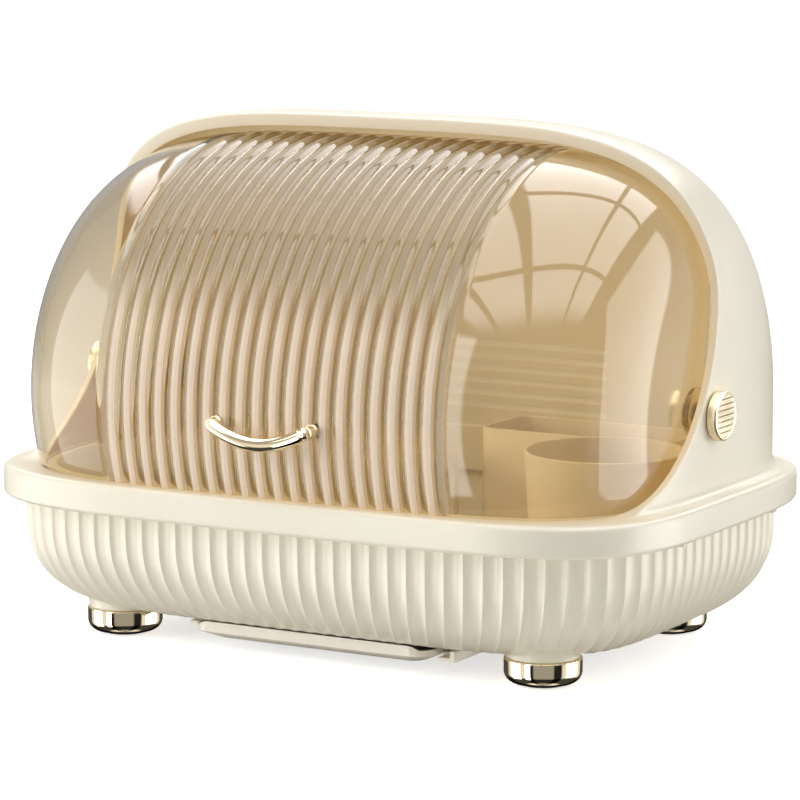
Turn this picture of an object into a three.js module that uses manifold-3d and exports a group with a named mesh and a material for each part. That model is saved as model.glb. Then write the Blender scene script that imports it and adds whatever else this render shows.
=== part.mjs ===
import * as THREE from 'three';
import { mergeVertices } from 'three/addons/utils/BufferGeometryUtils.js';
import Module from 'manifold-3d';

const wasm = await Module();
wasm.setup();

// A covered dish drainer: a fluted tub on four metal feet, an upper housing that is rim and rear hood
// in one moulding, and a ribbed clear cover that swings up inside the hood on two side pivots.
// Millimetres, +X to the right, +Y to the back, +Z up, the feet stand on Z = 0.

// Running and resting gaps
const restGap = 0.3;
const runningGap = 0.1;
const cutOverrun = 5;

// Driving sizes: the rim's length and height, and the radius that the cover swings on
const rimHalfWidth = 220;
const rimTopHeight = 101.5;
const coverRadius = 149.2;
const pivotRise = 44.5;
const pivotHeight = rimTopHeight + pivotRise;

// Upper housing: rim band, hood and the edge that the cover swings behind
const hoodSideInset = 13;
const hoodBackInset = 7;
const hoodFrontRelief = 5.2;
const coverBackGap = 4.8;
const coverTopGap = 13.4;
const rimFrontReach = 1.3;
const hoodHalfWidth = rimHalfWidth - hoodSideInset;
const hoodFrontDepth = coverRadius - hoodFrontRelief;
const hoodBackDepth = coverRadius + coverBackGap;
const hoodHeadroom = coverRadius + coverTopGap;
const rimFrontDepth = coverRadius + rimFrontReach;
const rimBackDepth = hoodBackDepth + hoodBackInset;
const rimFrontPower = 4.5;
const rimBackPower = 4.25;
const rimBandHeight = 18.5;
const rimBottomHeight = rimTopHeight - rimBandHeight;
const rimUnderRound = 4;
const rimTopRound = 4.5;
const hoodPower = 4.05;
const hoodWall = 2.7;
const hoodLipDepth = 5;
const hoodLipWidth = 2.2;
const hoodFootRound = 6.5;
const hoodEdgeTopReach = 15;
const hoodEdgeTopDrop = 2;
const hoodEdgeTopHeight = pivotHeight + hoodHeadroom - hoodEdgeTopDrop;
const hoodEdgeBendY = 7;
const hoodEdgeBendRise = 74;
const hoodEdgeBendHeight = pivotHeight + hoodEdgeBendRise;
const hoodEdgeBendRound = 18;
const toeBendY = -12;
const toeBendDrop = 10.5;
const toeBendHeight = pivotHeight - toeBendDrop;
const toeBendRound = 60;
const toeFootY = -87;
const toeFootRound = 21;
const ledgeWidth = 10;
const frontLedgeWidth = 21.5;
const openingFrontDepth = rimFrontDepth - frontLedgeWidth;
const skirtWall = 2.6;
const tongueWall = 2.8;
const ledgeThickness = 3;
const ventCount = 6;
const ventPitch = 8;
const ventHeight = 3.6;
const ventSideInset = 147;
const ventHalfLength = hoodHalfWidth - ventSideInset;
const ventLowestRise = 10.5;
const ventLowestHeight = rimTopHeight + ventLowestRise;

// Fluted tub
const tubInset = 11;
const tubFloorHeight = 16;
const tubFloorThickness = 3;
const tubWall = 2.4;
const tubBandDepth = 11;
const tubBottomRound = rimBottomHeight - tubFloorHeight - tubBandDepth;
const flutePitch = 14.5;
const fluteDepth = 2.4;
const flangeThickness = 2.7;
const drainHoleRadius = 8;
const drainPlaceY = -20;

// Screws that hold the housing to the tub's flange
const housingScrewFrontInset = 95.5;
const housingScrewBackInset = 96;
const housingScrewFrontY = housingScrewFrontInset - rimFrontDepth;
const housingScrewBackY = rimBackDepth - housingScrewBackInset;
const housingBossRadius = 3.7;
const smallScrewRadius = 1.5;
const smallScrewHeadRadius = 3.2;
const smallScrewHeadHeight = 2;
const smallScrewGrip = 8;

// Feet
const footSideInset = 79.5;
const footFrontInset = 69.5;
const footPlaceX = rimHalfWidth - footSideInset;
const footPlaceY = rimFrontDepth - footFrontInset;
const footRadius = 22.2;
const footTopHeight = 15.7;
const footBottomHeight = 1.2;
const footBottomRound = 7;
const footEdgeRound = 0.8;
const footBossRadius = 21;
const footBossHeight = 14;
const footPadRadius = 13;
const footPadHeight = 2.7;
const footScrewRadius = 2;
const footScrewHeadRadius = 4.4;
const footScrewHeadHeight = 2.6;
const footScrewLength = 18;
const footCounterboreDepth = 4;
const footInnerBossRadius = 6;
const footInnerBossHeight = 11;

// Clear cover
const coverSideGap = 8.6;
const coverHalfWidth = hoodHalfWidth - coverSideGap;
const coverPower = 4.5;
const coverWall = 2.2;
const coverRibPitch = 10.9;
const smoothEndWidth = 89.4;
const coverRibCount = 2 * Math.round((coverHalfWidth - smoothEndWidth) / coverRibPitch);
const coverRibDepth = 1.6;
const coverRearAngle = 100;
const coverFrontAngle = -16;
const coverTuckAngle = -95;
const coverOverrunAngle = 15;
const earRadius = 15;
const earThickness = 5;

// Pivot: pin, spacer, bush and ridged knob on each side
const pinRadius = 4;
const pinHeadRadius = 7;
const pinHeadThickness = 2.6;
const bushRadius = 7;
const bushFlangeRadius = 9;
const bushFlangeThickness = 1.3;
const spacerRadius = 7.5;
const knobRadius = 14.2;
const knobDepth = 6;
const knobStandoff = 0.8;
const knobSocketDepth = 4;
const knobEdgeRound = 1.4;
const knobRidgeCount = 8;
const knobRidgeDepth = 0.7;

// Pull handle
const handleHalfSpan = 31.5;
const handleEndDrop = 2.5;
const handleEndHeight = pivotHeight - handleEndDrop;
const handleSag = 9.3;
const handleTubeRadius = 3.2;
const handleStandoff = 6.8;
const handleBulge = 1.8;
const handlePostRadius = 3;
const handleFootRadius = 4.6;
const handleFootThickness = 1.6;
const handleScrewRadius = 1.5;
const handleScrewLength = 11;
const handleScrewHeadRadius = 3;
const handleScrewHeadHeight = 1.8;
const handleWasherRadius = 4.5;
const handleWasherThickness = 1;
const handlePadRadius = 5.6;
const handlePadRise = 2;

// Drip tray and its two runners
const trayFootGap = 38.3;
const trayHalfLength = footPlaceX - footRadius - trayFootGap;
const trayFrontInset = 44.5;
const trayDepth = 140;
const trayFrontY = trayFrontInset - rimFrontDepth;
const trayBackY = trayFrontY + trayDepth;
const trayCorner = 14;
const trayBottomHeight = 6.5;
const trayShoulderHeight = 12;
const trayTopHeight = 15.4;
const trayLipHeight = 18.2;
const trayLipThickness = 4.5;
const trayChamfer = 12;
const trayWall = 2;
const trayFlangeReach = 9.5;
const trayFlangeThickness = 1.6;
const runnerWall = 3;
const runnerLedge = 8;
const runnerBottomHeight = 9.5;
const runnerLedgeThickness = 2;
const rightRunnerSetback = 8;
const leftRunnerSetback = 46;

// Inside: drain board, plate rack, cutlery cup, utensil box, drain nozzle
const boardClearance = 5;
const boardTopDrop = 58.5;
const boardHeight = rimTopHeight - boardTopDrop;
const boardThickness = 3;
const boardSlotSideInset = 58;
const boardSlotRows = 3;
const boardSlotPitchX = 54;
const boardSlotPitchY = 56;
const boardSlotLength = 40;
const boardSlotColumns = Math.round((rimHalfWidth - boardSlotSideInset) * 2 / boardSlotPitchX);
const boardSlotWidth = 5;
const boardLegRadius = 5;
const boardLegSideInset = 108;
const boardLegPlaceX = rimHalfWidth - boardLegSideInset;
const boardLegPlaceY = 62;
const rackSideInset = 52;
const rackLeftX = rackSideInset - rimHalfWidth;
const rackHoopPitch = 22;
const rackHoopCount = 9;
const rackHoopThickness = 4;
const rackHalfDepth = 54;
const rackStandingHeight = 62;
const rackStrip = 6;
const rackHoopRound = 18;
const rackRailWidth = 8;
const rackRailHeight = 6;
const cupSideInset = 85;
const cupPlaceX = rimHalfWidth - cupSideInset;
const cupTopRadius = 46.7;
const cupBottomRadius = 42;
const cupTopRise = 18.5;
const cupTopHeight = rimTopHeight + cupTopRise;
const cupWall = 2;
const cupDrainRadius = 4;
const cupDrainCircle = 24;
const cupDrainCount = 6;
const boxSideInset = 70;
const boxBackInset = 51;
const boxLength = 126;
const boxDepth = 56;
const boxRightX = rimHalfWidth - boxSideInset;
const boxLeftX = boxRightX - boxLength;
const boxBackY = rimBackDepth - boxBackInset;
const boxFrontY = boxBackY - boxDepth;
const cupBoxGap = 3.3;
const cupPlaceY = boxFrontY - cupBoxGap - cupTopRadius;
const boxTopRise = 15.5;
const boxTopHeight = rimTopHeight + boxTopRise;
const boxWall = 2;
const boxCorner = 10;
const boxDrainLength = 30;
const boxDrainWidth = 5;
const nozzleWall = 2.2;
const nozzleFlangeReach = 4;
const nozzleFlangeThickness = 1.8;
const nozzleBelow = 0.2;

// Finishes
const cream = { color: 0xf3ebd9, roughness: 0.35, metalness: 0 };
const amber = { color: 0xc9ad7c, roughness: 0.08, metalness: 0, transparent: true, opacity: 0.55 };
const paleGold = { color: 0xe8d3a0, roughness: 0.18, metalness: 1 };
const steel = { color: 0xb8bcc0, roughness: 0.3, metalness: 1 };
const softGrey = { color: 0x8c8a85, roughness: 0.9, metalness: 0 };
const innerWhite = { color: 0xefe9dc, roughness: 0.45, metalness: 0 };

// Steps round a curve
const planSteps = 26;
const roundSteps = 16;
const smallSteps = 8;
const cornerSteps = 3;
const filletSteps = 3;
const edgeSteps = 6;

const degrees = Math.PI / 180;
const quarterTurn = Math.PI / 2;

// Solid from a list of points and a list of triangles, turned outwards if it came inside out
function solidFromMesh(points, triangles) {
  const build = (list) => new wasm.Manifold(new wasm.Mesh({
    numProp: 3,
    vertProperties: new Float32Array(points.flat()),
    triVerts: new Uint32Array(list.flat()),
  }));
  const first = build(triangles);
  return first.volume() > 0 ? first : build(triangles.map(([a, b, c]) => [a, c, b]));
}

// Solid from a closed three.js geometry
function solidFromGeometry(geometry) {
  geometry.deleteAttribute('normal');
  geometry.deleteAttribute('uv');
  const merged = mergeVertices(geometry);
  const place = merged.attributes.position;
  const points = Array.from({ length: place.count }, (_, i) => [place.getX(i), place.getY(i), place.getZ(i)]);
  const index = merged.index.array;
  const triangles = Array.from({ length: index.length / 3 }, (_, i) => [...index.slice(3 * i, 3 * i + 3)]);
  return solidFromMesh(points, triangles);
}

// Solid through rings of equal length, each a list of points, with a fan over both ends
function loftSolid(rings) {
  const count = rings[0].length;
  const points = rings.flat();
  const triangles = [];
  for (let row = 0; row < rings.length - 1; row += 1) {
    for (let i = 0; i < count; i += 1) {
      const a = row * count + i;
      const b = row * count + (i + 1) % count;
      triangles.push([a, b, b + count], [a, b + count, a + count]);
    }
  }
  for (const [row, turn] of [[0, 1], [rings.length - 1, 0]]) {
    const middle = [0, 1, 2].map((k) => rings[row].reduce((sum, p) => sum + p[k], 0) / count);
    points.push(middle);
    for (let i = 0; i < count; i += 1) {
      const a = row * count + i;
      const b = row * count + (i + 1) % count;
      triangles.push(turn ? [points.length - 1, b, a] : [points.length - 1, a, b]);
    }
  }
  return solidFromMesh(points, triangles);
}

const joined = (solids) => solids.reduce((sum, solid) => sum.add(solid));

// Block between two corners
function block(low, high) {
  const size = high.map((value, k) => value - low[k]);
  const middle = high.map((value, k) => (value + low[k]) / 2);
  return solidFromGeometry(new THREE.BoxGeometry(...size)).translate(middle);
}

// Upright cylinder between two heights
function post(radius, low, high, x = 0, y = 0, steps = smallSteps) {
  const geometry = new THREE.CylinderGeometry(radius, radius, high - low, steps);
  geometry.rotateX(quarterTurn);
  return solidFromGeometry(geometry).translate([x, y, (low + high) / 2]);
}

// Turned piece about Z from half-profile points (radius, height)
function turned(profile, steps = roundSteps) {
  const geometry = new THREE.LatheGeometry(profile.map(([r, z]) => new THREE.Vector2(r, z)), steps);
  geometry.rotateX(quarterTurn);
  return solidFromGeometry(geometry);
}

// Turn a solid made about Z so that its axis lies along +X, or along +Y
const alongX = (solid) => solid.rotate([0, 90, 0]);
const alongY = (solid) => solid.rotate([-90, 0, 0]);

// Outline in (y, z) drawn out along X between two places
function drawnAlongX(shape, fromX, toX, steps = filletSteps) {
  const geometry = new THREE.ExtrudeGeometry(shape, {
    depth: toX - fromX, bevelEnabled: false, curveSegments: steps,
  });
  const cycle = new THREE.Matrix4().set(0, 0, 1, 0, 1, 0, 0, 0, 0, 1, 0, 0, 0, 0, 0, 1);
  geometry.applyMatrix4(cycle);
  return solidFromGeometry(geometry).translate([fromX, 0, 0]);
}

// Closed outline whose corners [u, v, round] are rounded over the given tangent length
function roundedOutline(corners) {
  const shape = new THREE.Shape();
  corners.forEach(([u, v, round = 0], i) => {
    const before = corners[(i + corners.length - 1) % corners.length];
    const after = corners[(i + 1) % corners.length];
    const towards = (p) => {
      const length = Math.hypot(p[0] - u, p[1] - v);
      return [u + (p[0] - u) * round / length, v + (p[1] - v) * round / length];
    };
    const start = towards(before);
    if (i === 0) shape.moveTo(...start);
    else shape.lineTo(...start);
    if (round > 0) shape.quadraticCurveTo(u, v, ...towards(after));
  });
  shape.closePath();
  return shape;
}

// Plans of the rim, hood, tub and board: superellipses with a shallower front than back half
const plan = (halfWidth, front, back, frontPower, backPower) => (
  { halfWidth, front, back, frontPower, backPower });
const grown = (p, by) => ({ ...p, halfWidth: p.halfWidth + by, front: p.front + by, back: p.back + by });

const signedPower = (value, power) => Math.sign(value) * Math.abs(value) ** power;
const rowAngles = Array.from({ length: planSteps + 1 }, (_, i) => -quarterTurn + Math.PI * i / planSteps);

function planPoint(p, angle, behind, z) {
  const power = 2 / (behind ? p.backPower : p.frontPower);
  const depth = Math.abs(Math.cos(angle)) < 1e-9 ? 0 : Math.cos(angle) ** power;
  return [p.halfWidth * signedPower(Math.sin(angle), power), behind ? p.back * depth : -p.front * depth, z];
}

// Ring of a plan at one height, from the left end along the front and home along the back
const planRing = (p, z) => [
  ...rowAngles.map((angle) => planPoint(p, angle, false, z)),
  ...rowAngles.slice(1, -1).reverse().map((angle) => planPoint(p, angle, true, z)),
];

const planSlab = (p, low, high) => loftSolid([planRing(p, low), planRing(p, high)]);

// Dome over a plan: each row is the plan's end-to-end curve swung about the pivot line, above a skirt
// of rings given from the pivot's height downwards
const domeAngles = [0, 60, 78, 92, 107, 122, 137, 152, 166, 180].map((a) => a * degrees);

function domeSolid(p, headroom, skirt) {
  const points = [];
  const rows = domeAngles.map((swing) => rowAngles.map((angle, i) => {
    const end = i === 0 || i === planSteps;
    if (end && swing > 0) return i === 0 ? 0 : planSteps;
    const behind = swing > quarterTurn;
    const [x, depth] = planPoint(p, angle, behind, 0);
    const reach = Math.abs(depth) / (behind ? p.back : p.front);
    const y = -Math.cos(swing) * (behind ? p.back : p.front) * reach;
    points.push([x, y, pivotHeight + headroom * reach * Math.sin(swing)]);
    return points.length - 1;
  }));
  const triangles = [];
  rows.slice(1).forEach((row, r) => {
    const last = rows[r];
    for (let i = 0; i < planSteps; i += 1) {
      if (row[i] !== last[i]) triangles.push([last[i], row[i + 1], row[i]]);
      if (row[i + 1] !== last[i + 1]) triangles.push([last[i], last[i + 1], row[i + 1]]);
    }
  });
  let ring = [...rows[0], ...rows[rows.length - 1].slice(1, -1).reverse()];
  for (const [lower, z] of skirt) {
    const start = points.length;
    points.push(...planRing(lower, z));
    const next = ring.map((_, i) => start + i);
    ring.forEach((a, i) => {
      const b = ring[(i + 1) % ring.length];
      const c = next[(i + 1) % ring.length];
      triangles.push([next[i], c, b], [next[i], b, a]);
    });
    ring = next;
  }
  points.push([0, 0, skirt[skirt.length - 1][1]]);
  ring.forEach((a, i) => triangles.push([points.length - 1, ring[(i + 1) % ring.length], a]));
  return solidFromMesh(points, triangles);
}

// The upper housing
const rimPlan = plan(rimHalfWidth, rimFrontDepth, rimBackDepth, rimFrontPower, rimBackPower);
const hoodPlan = plan(hoodHalfWidth, hoodFrontDepth, hoodBackDepth, hoodPower, hoodPower);

// Everything in front of the hood's edge: down the side, round the bend and forward along the rim
function frontOfHood(shiftY, shiftZ) {
  const beyond = rimHalfWidth * 2;
  const above = pivotHeight + hoodHeadroom + cutOverrun * 4;
  const lean = (hoodEdgeBendY + hoodEdgeTopReach) / (hoodEdgeTopHeight - hoodEdgeBendHeight);
  const edge = [
    [hoodEdgeBendY - lean * (above - hoodEdgeBendHeight), above],
    [hoodEdgeBendY, hoodEdgeBendHeight, hoodEdgeBendRound],
    [toeBendY, toeBendHeight, toeBendRound],
    [toeFootY, rimTopHeight, toeFootRound],
    [-beyond, rimTopHeight],
    [-beyond, above],
  ];
  const shape = roundedOutline(edge);
  return drawnAlongX(shape, -beyond, beyond, edgeSteps).translate([0, shiftY, shiftZ]);
}

const footRoundAngles = [0, 30, 60, 90].map((a) => a * degrees);

function upperHousing() {
  const skirt = footRoundAngles.map((angle) => [
    grown(hoodPlan, hoodFootRound * (1 - Math.cos(angle))), rimTopHeight + hoodFootRound * (1 - Math.sin(angle))]);
  const skirtFloor = (rimBottomHeight + rimTopHeight) / 2;
  const hood = domeSolid(hoodPlan, hoodHeadroom, [...skirt, [grown(hoodPlan, hoodFootRound), skirtFloor]]);
  const band = loftSolid([
    planRing(grown(rimPlan, -rimUnderRound), rimBottomHeight),
    planRing(grown(rimPlan, -rimUnderRound / 4), rimBottomHeight + rimUnderRound / 4),
    planRing(rimPlan, rimBottomHeight + rimUnderRound),
    planRing(rimPlan, rimTopHeight - rimTopRound),
    planRing(grown(rimPlan, -rimTopRound / 4), rimTopHeight - rimTopRound / 4),
    planRing(grown(rimPlan, -rimTopRound), rimTopHeight),
  ]);
  const innerPlan = grown(hoodPlan, -hoodWall);
  const lipPlan = { ...grown(hoodPlan, -hoodLipDepth), back: hoodBackDepth - hoodWall };
  const cavity = domeSolid(innerPlan, hoodHeadroom - hoodWall, [[innerPlan, rimTopHeight]])
    .subtract(frontOfHood(hoodLipWidth, -hoodLipWidth));
  const mouth = domeSolid(lipPlan, hoodHeadroom - hoodLipDepth, [[lipPlan, rimTopHeight]]);
  const openingPlan = { ...grown(innerPlan, -ledgeWidth), front: openingFrontDepth };
  const opening = planSlab(openingPlan, rimBottomHeight - cutOverrun, rimTopHeight + cutOverrun);
  const tongue = planSlab(grown(openingPlan, tongueWall), rimBottomHeight - cutOverrun * 2, rimTopHeight);
  const channel = planSlab(grown(rimPlan, -skirtWall), rimBottomHeight - cutOverrun,
    rimTopHeight - ledgeThickness).subtract(tongue);
  const bosses = housingScrewPlaces.map(([x, y]) => post(housingBossRadius,
    rimBottomHeight + flangeThickness + restGap * 2, rimTopHeight - ledgeThickness / 2, x, y));
  const screwHoles = housingScrewPlaces.map(([x, y]) => post(smallScrewRadius + runningGap,
    rimBottomHeight, rimBottomHeight + flangeThickness + smallScrewGrip + restGap, x, y));
  const vents = Array.from({ length: ventCount }, (_, i) => {
    const z = ventLowestHeight + ventPitch * i;
    return block([-ventHalfLength, hoodBackDepth - hoodWall * 4, z],
      [ventHalfLength, rimBackDepth + cutOverrun, z + ventHeight]);
  });
  const bushHoles = [1, -1].map((side) => alongX(post(bushRadius + runningGap,
    hoodHalfWidth - hoodLipDepth * 2, hoodHalfWidth + cutOverrun, 0, 0, roundSteps))
    .scale([side, 1, 1]).translate([0, 0, pivotHeight]));
  return joined([hood.subtract(frontOfHood(0, 0)), band])
    .subtract(joined([cavity, mouth, opening]))
    .subtract(channel)
    .add(joined(bosses))
    .subtract(joined([...screwHoles, ...vents, ...bushHoles]));
}

// Middle of the tub's flange, at a given depth on the right side
const flangeMiddleX = (rimHalfWidth - tubInset + rimHalfWidth - skirtWall) / 2;
const housingScrewPlaces = [-flangeMiddleX, flangeMiddleX].flatMap((x) => (
  [housingScrewFrontY, housingScrewBackY].map((y) => [x, y])));

function housingScrew() {
  const seat = rimBottomHeight + restGap;
  return joined([
    post(smallScrewHeadRadius, seat - smallScrewHeadHeight - restGap, seat - restGap),
    post(smallScrewRadius, seat - smallScrewHeadHeight, seat + flangeThickness + smallScrewGrip - restGap),
  ]);
}

// The fluted tub: rings of even steps along the plan, every flute a crest and a valley
const fluteStepShares = [0, 0.5];
const fluteSinkShares = [0, 1];
const tubPlan = grown(rimPlan, -tubInset);
const tubInnerInset = fluteDepth + tubWall;
const tubInnerRound = tubBottomRound - tubInnerInset;

function evenRing(p, z, count, sinks, depth) {
  const fineSteps = planSteps * 16;
  const fine = Array.from({ length: fineSteps * 2 }, (_, i) => {
    const behind = i >= fineSteps;
    const angle = behind ? quarterTurn - Math.PI * (i - fineSteps) / fineSteps
      : -quarterTurn + Math.PI * i / fineSteps;
    return planPoint(p, angle, behind, z);
  });
  const reach = [0];
  fine.forEach((point, i) => {
    const next = fine[(i + 1) % fine.length];
    reach.push(reach[i] + Math.hypot(next[0] - point[0], next[1] - point[1]));
  });
  const total = reach[reach.length - 1];
  let k = 0;
  const points = [];
  for (let flute = 0; flute < count; flute += 1) {
    fluteStepShares.forEach((share, j) => {
      const target = total * (flute + share) / count;
      while (reach[k + 1] < target) k += 1;
      const from = fine[k];
      const to = fine[(k + 1) % fine.length];
      const part = (target - reach[k]) / (reach[k + 1] - reach[k]);
      const length = reach[k + 1] - reach[k];
      const inward = [-(to[1] - from[1]) / length, (to[0] - from[0]) / length];
      const sink = sinks[j] * depth;
      points.push([0, 1].map((axis) => from[axis] + (to[axis] - from[axis]) * part + inward[axis] * sink)
        .concat(z));
    });
  }
  return { points, total };
}

const tubRoundAngles = [0, 28, 54, 75, 90].map((a) => a * degrees);
const fluteFadeShares = [1, 1, 0.85, 0.4, 0];

function baseTub() {
  const top = rimBottomHeight + restGap + flangeThickness / 2;
  const fluteCount = Math.round(evenRing(tubPlan, 0, 1, fluteSinkShares, 0).total / flutePitch);
  const rings = tubRoundAngles.map((angle, i) => evenRing(
    grown(tubPlan, -tubBottomRound * (1 - Math.cos(angle))),
    tubFloorHeight + tubBottomRound * (1 - Math.sin(angle)),
    fluteCount, fluteSinkShares, fluteDepth * fluteFadeShares[i]).points);
  rings.unshift(evenRing(tubPlan, top, fluteCount, fluteSinkShares, fluteDepth).points);
  const body = loftSolid(rings.reverse());
  const innerFloor = tubFloorHeight + tubFloorThickness;
  const hollow = loftSolid([
    ...tubRoundAngles.slice().reverse().map((angle) => planRing(
      grown(tubPlan, -tubInnerInset - tubInnerRound * (1 - Math.cos(angle))),
      innerFloor + tubInnerRound * (1 - Math.sin(angle)))),
    planRing(grown(tubPlan, -tubInnerInset), rimTopHeight),
  ]);
  const flange = planSlab(grown(rimPlan, -skirtWall - restGap), rimBottomHeight + restGap,
    rimBottomHeight + restGap + flangeThickness);
  const bosses = footPlaces.map(([x, y]) => post(footBossRadius, tubFloorHeight,
    tubFloorHeight + footBossHeight, x, y, roundSteps));
  const innerBosses = footPlaces.map(([x, y]) => post(footInnerBossRadius, tubFloorHeight,
    tubFloorHeight + footInnerBossHeight, x, y));
  const footHoles = footPlaces.map(([x, y]) => post(footScrewRadius + runningGap,
    tubFloorHeight - cutOverrun, footScrewTop + restGap, x, y));
  const screwHoles = housingScrewPlaces.map(([x, y]) => post(smallScrewRadius + runningGap,
    rimBottomHeight - cutOverrun, rimTopHeight, x, y));
  const drain = post(drainHoleRadius + runningGap, 0, boardHeight, 0, drainPlaceY, roundSteps);
  return joined([body, flange, ...bosses])
    .subtract(hollow)
    .add(joined(innerBosses))
    .subtract(joined([...footHoles, ...screwHoles, drain]));
}

// Feet: a gold cup with a rounded bottom edge, a rubber pad in its recess and a screw into the boss
const footPlaces = [[-1, -1], [1, -1], [-1, 1], [1, 1]].map(([sx, sy]) => [sx * footPlaceX, sy * footPlaceY]);
const footNames = ['front_left', 'front_right', 'back_left', 'back_right'];
const footRecess = footPadHeight + restGap;
const footScrewSeat = footRecess + footCounterboreDepth;
const footScrewTop = footScrewSeat - footScrewHeadHeight + footScrewLength;

function footCup() {
  const flatRadius = footRadius - footBottomRound;
  const bottomArc = Array.from({ length: filletSteps + 1 }, (_, i) => {
    const angle = quarterTurn * i / filletSteps;
    return [flatRadius + footBottomRound * Math.sin(angle),
      footBottomHeight + footBottomRound * (1 - Math.cos(angle))];
  });
  const bore = footScrewRadius + runningGap;
  const counterbore = footScrewHeadRadius + runningGap;
  return turned([
    [bore, footTopHeight], [bore, footScrewSeat], [counterbore, footScrewSeat], [counterbore, footRecess],
    [footPadRadius + restGap, footRecess], [footPadRadius + restGap, footBottomHeight],
    ...bottomArc,
    [footRadius, footTopHeight - footEdgeRound], [footRadius - footEdgeRound, footTopHeight],
    [bore, footTopHeight],
  ]);
}

const footPad = () => post(footPadRadius, 0, footPadHeight, 0, 0, roundSteps);

const footScrew = () => joined([
  post(footScrewHeadRadius, footScrewSeat - footScrewHeadHeight - restGap, footScrewSeat - restGap),
  post(footScrewRadius, footScrewSeat - footScrewHeadHeight, footScrewTop),
]);

// The clear cover: end-to-end curves swung about the pivot line, ribbed over the middle
const shoulderRadius = (x, halfWidth, radius) => (
  radius * (1 - Math.min(1, Math.abs(x) / halfWidth) ** coverPower) ** (1 / coverPower));
const ribStepShares = [0, 0.25, 0.75];
const ribSinkShares = [1, 0, 0];
const shoulderSteps = 6;

function coverShoulder(halfWidth, radius, fromX) {
  const start = Math.asin((fromX / halfWidth) ** (coverPower / 2));
  return Array.from({ length: shoulderSteps + 1 }, (_, i) => {
    const angle = start + (quarterTurn - start) * i / shoulderSteps;
    const x = i === shoulderSteps ? halfWidth : halfWidth * Math.sin(angle) ** (2 / coverPower);
    return [x, i === shoulderSteps ? 0 : shoulderRadius(x, halfWidth, radius)];
  });
}

function ribbedProfile() {
  const ribbedHalf = coverRibPitch * coverRibCount / 2;
  const ribs = [];
  for (let rib = 0; rib < coverRibCount; rib += 1) {
    ribStepShares.forEach((share, j) => {
      const x = -ribbedHalf + coverRibPitch * (rib + share);
      ribs.push([x, shoulderRadius(x, coverHalfWidth, coverRadius) - coverRibDepth * ribSinkShares[j]]);
    });
  }
  const shoulder = coverShoulder(coverHalfWidth, coverRadius, ribbedHalf);
  const mirrored = shoulder.slice(1).reverse().map(([x, r]) => [-x, r]);
  const lastGroove = [ribbedHalf, shoulderRadius(ribbedHalf, coverHalfWidth, coverRadius) - coverRibDepth];
  return [...mirrored, ...ribs, lastGroove, ...shoulder.slice(1)];
}

function innerProfile() {
  const halfWidth = coverHalfWidth - coverWall;
  const radius = coverRadius - coverRibDepth - coverWall;
  const shoulder = coverShoulder(halfWidth, radius, halfWidth / 2);
  return [...shoulder.slice().reverse().map(([x, r]) => [-x, r]), [0, radius], ...shoulder];
}

// Wedge that a profile of (x, radius) points sweeps about the pivot line, in the pivot's own frame
function sweptWedge(profile, angles) {
  const count = profile.length;
  const points = [];
  const rows = angles.map((angle, r) => profile.map(([x, radius], i) => {
    if (r > 0 && (i === 0 || i === count - 1)) return i;
    points.push([x, -radius * Math.cos(angle), radius * Math.sin(angle)]);
    return points.length - 1;
  }));
  points.push([0, 0, 0]);
  const axis = points.length - 1;
  const triangles = [];
  rows.slice(1).forEach((row, r) => {
    const last = rows[r];
    for (let i = 0; i < count - 1; i += 1) {
      if (row[i] !== last[i]) triangles.push([last[i], row[i + 1], row[i]]);
      if (row[i + 1] !== last[i + 1]) triangles.push([last[i], last[i + 1], row[i + 1]]);
    }
  });
  rows[0].slice(1).forEach((b, i) => triangles.push([axis, b, rows[0][i]]));
  const end = rows[rows.length - 1];
  end.slice(1).forEach((b, i) => triangles.push([axis, end[i], b]));
  return solidFromMesh(points, triangles);
}

const coverBottom = rimTopHeight + restGap - pivotHeight;
const coverRowCount = 9;

function clearCover() {
  const lowAngles = [coverTuckAngle, -50];
  const rows = Array.from({ length: coverRowCount + 1 }, (_, i) => (
    coverFrontAngle - coverRibDepth + (coverRearAngle - coverFrontAngle + coverRibDepth) * i / coverRowCount));
  const outerAngles = [...lowAngles, ...rows].map((a) => a * degrees);
  const innerAngles = [coverTuckAngle - coverOverrunAngle, ...outerAngles.slice(1, -1).map((a) => a / degrees),
    coverRearAngle, coverRearAngle + coverOverrunAngle].map((a) => a * degrees);
  const shell = sweptWedge(ribbedProfile(), outerAngles).subtract(sweptWedge(innerProfile(), innerAngles));
  const below = block([-rimHalfWidth, -rimHalfWidth, -pivotHeight * 2], [rimHalfWidth, rimHalfWidth, coverBottom]);
  const earFace = coverHalfWidth - restGap;
  const ears = [1, -1].map((side) => alongX(post(earRadius, earFace - earThickness, earFace, 0, 0, roundSteps))
    .scale([side, 1, 1]));
  const pinHoles = [1, -1].map((side) => alongX(post(pinRadius + runningGap, earFace - earThickness * 2,
    coverHalfWidth + cutOverrun, 0, 0, roundSteps)).scale([side, 1, 1]));
  const screwHoles = [1, -1].map((side) => alongY(post(handleScrewRadius + runningGap, -coverRadius - cutOverrun,
    -coverRadius + cutOverrun * 2)).translate([side * handleHalfSpan, 0, handleEndHeight - pivotHeight]));
  const pads = [1, -1].map((side) => alongY(post(handlePadRadius, -coverRadius, -handlePadInnerFace))
    .translate([side * handleHalfSpan, 0, handleEndHeight - pivotHeight]));
  return shell.subtract(below).add(joined([...ears, ...pads])).subtract(joined([...pinHoles, ...screwHoles]));
}

// Pivot pieces, made about Z with the cover's middle at zero and then laid along X
const earOuterFace = coverHalfWidth - restGap;
const bushInnerFace = hoodHalfWidth - hoodWall - restGap - bushFlangeThickness;
const knobBack = hoodHalfWidth + knobStandoff;

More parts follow.
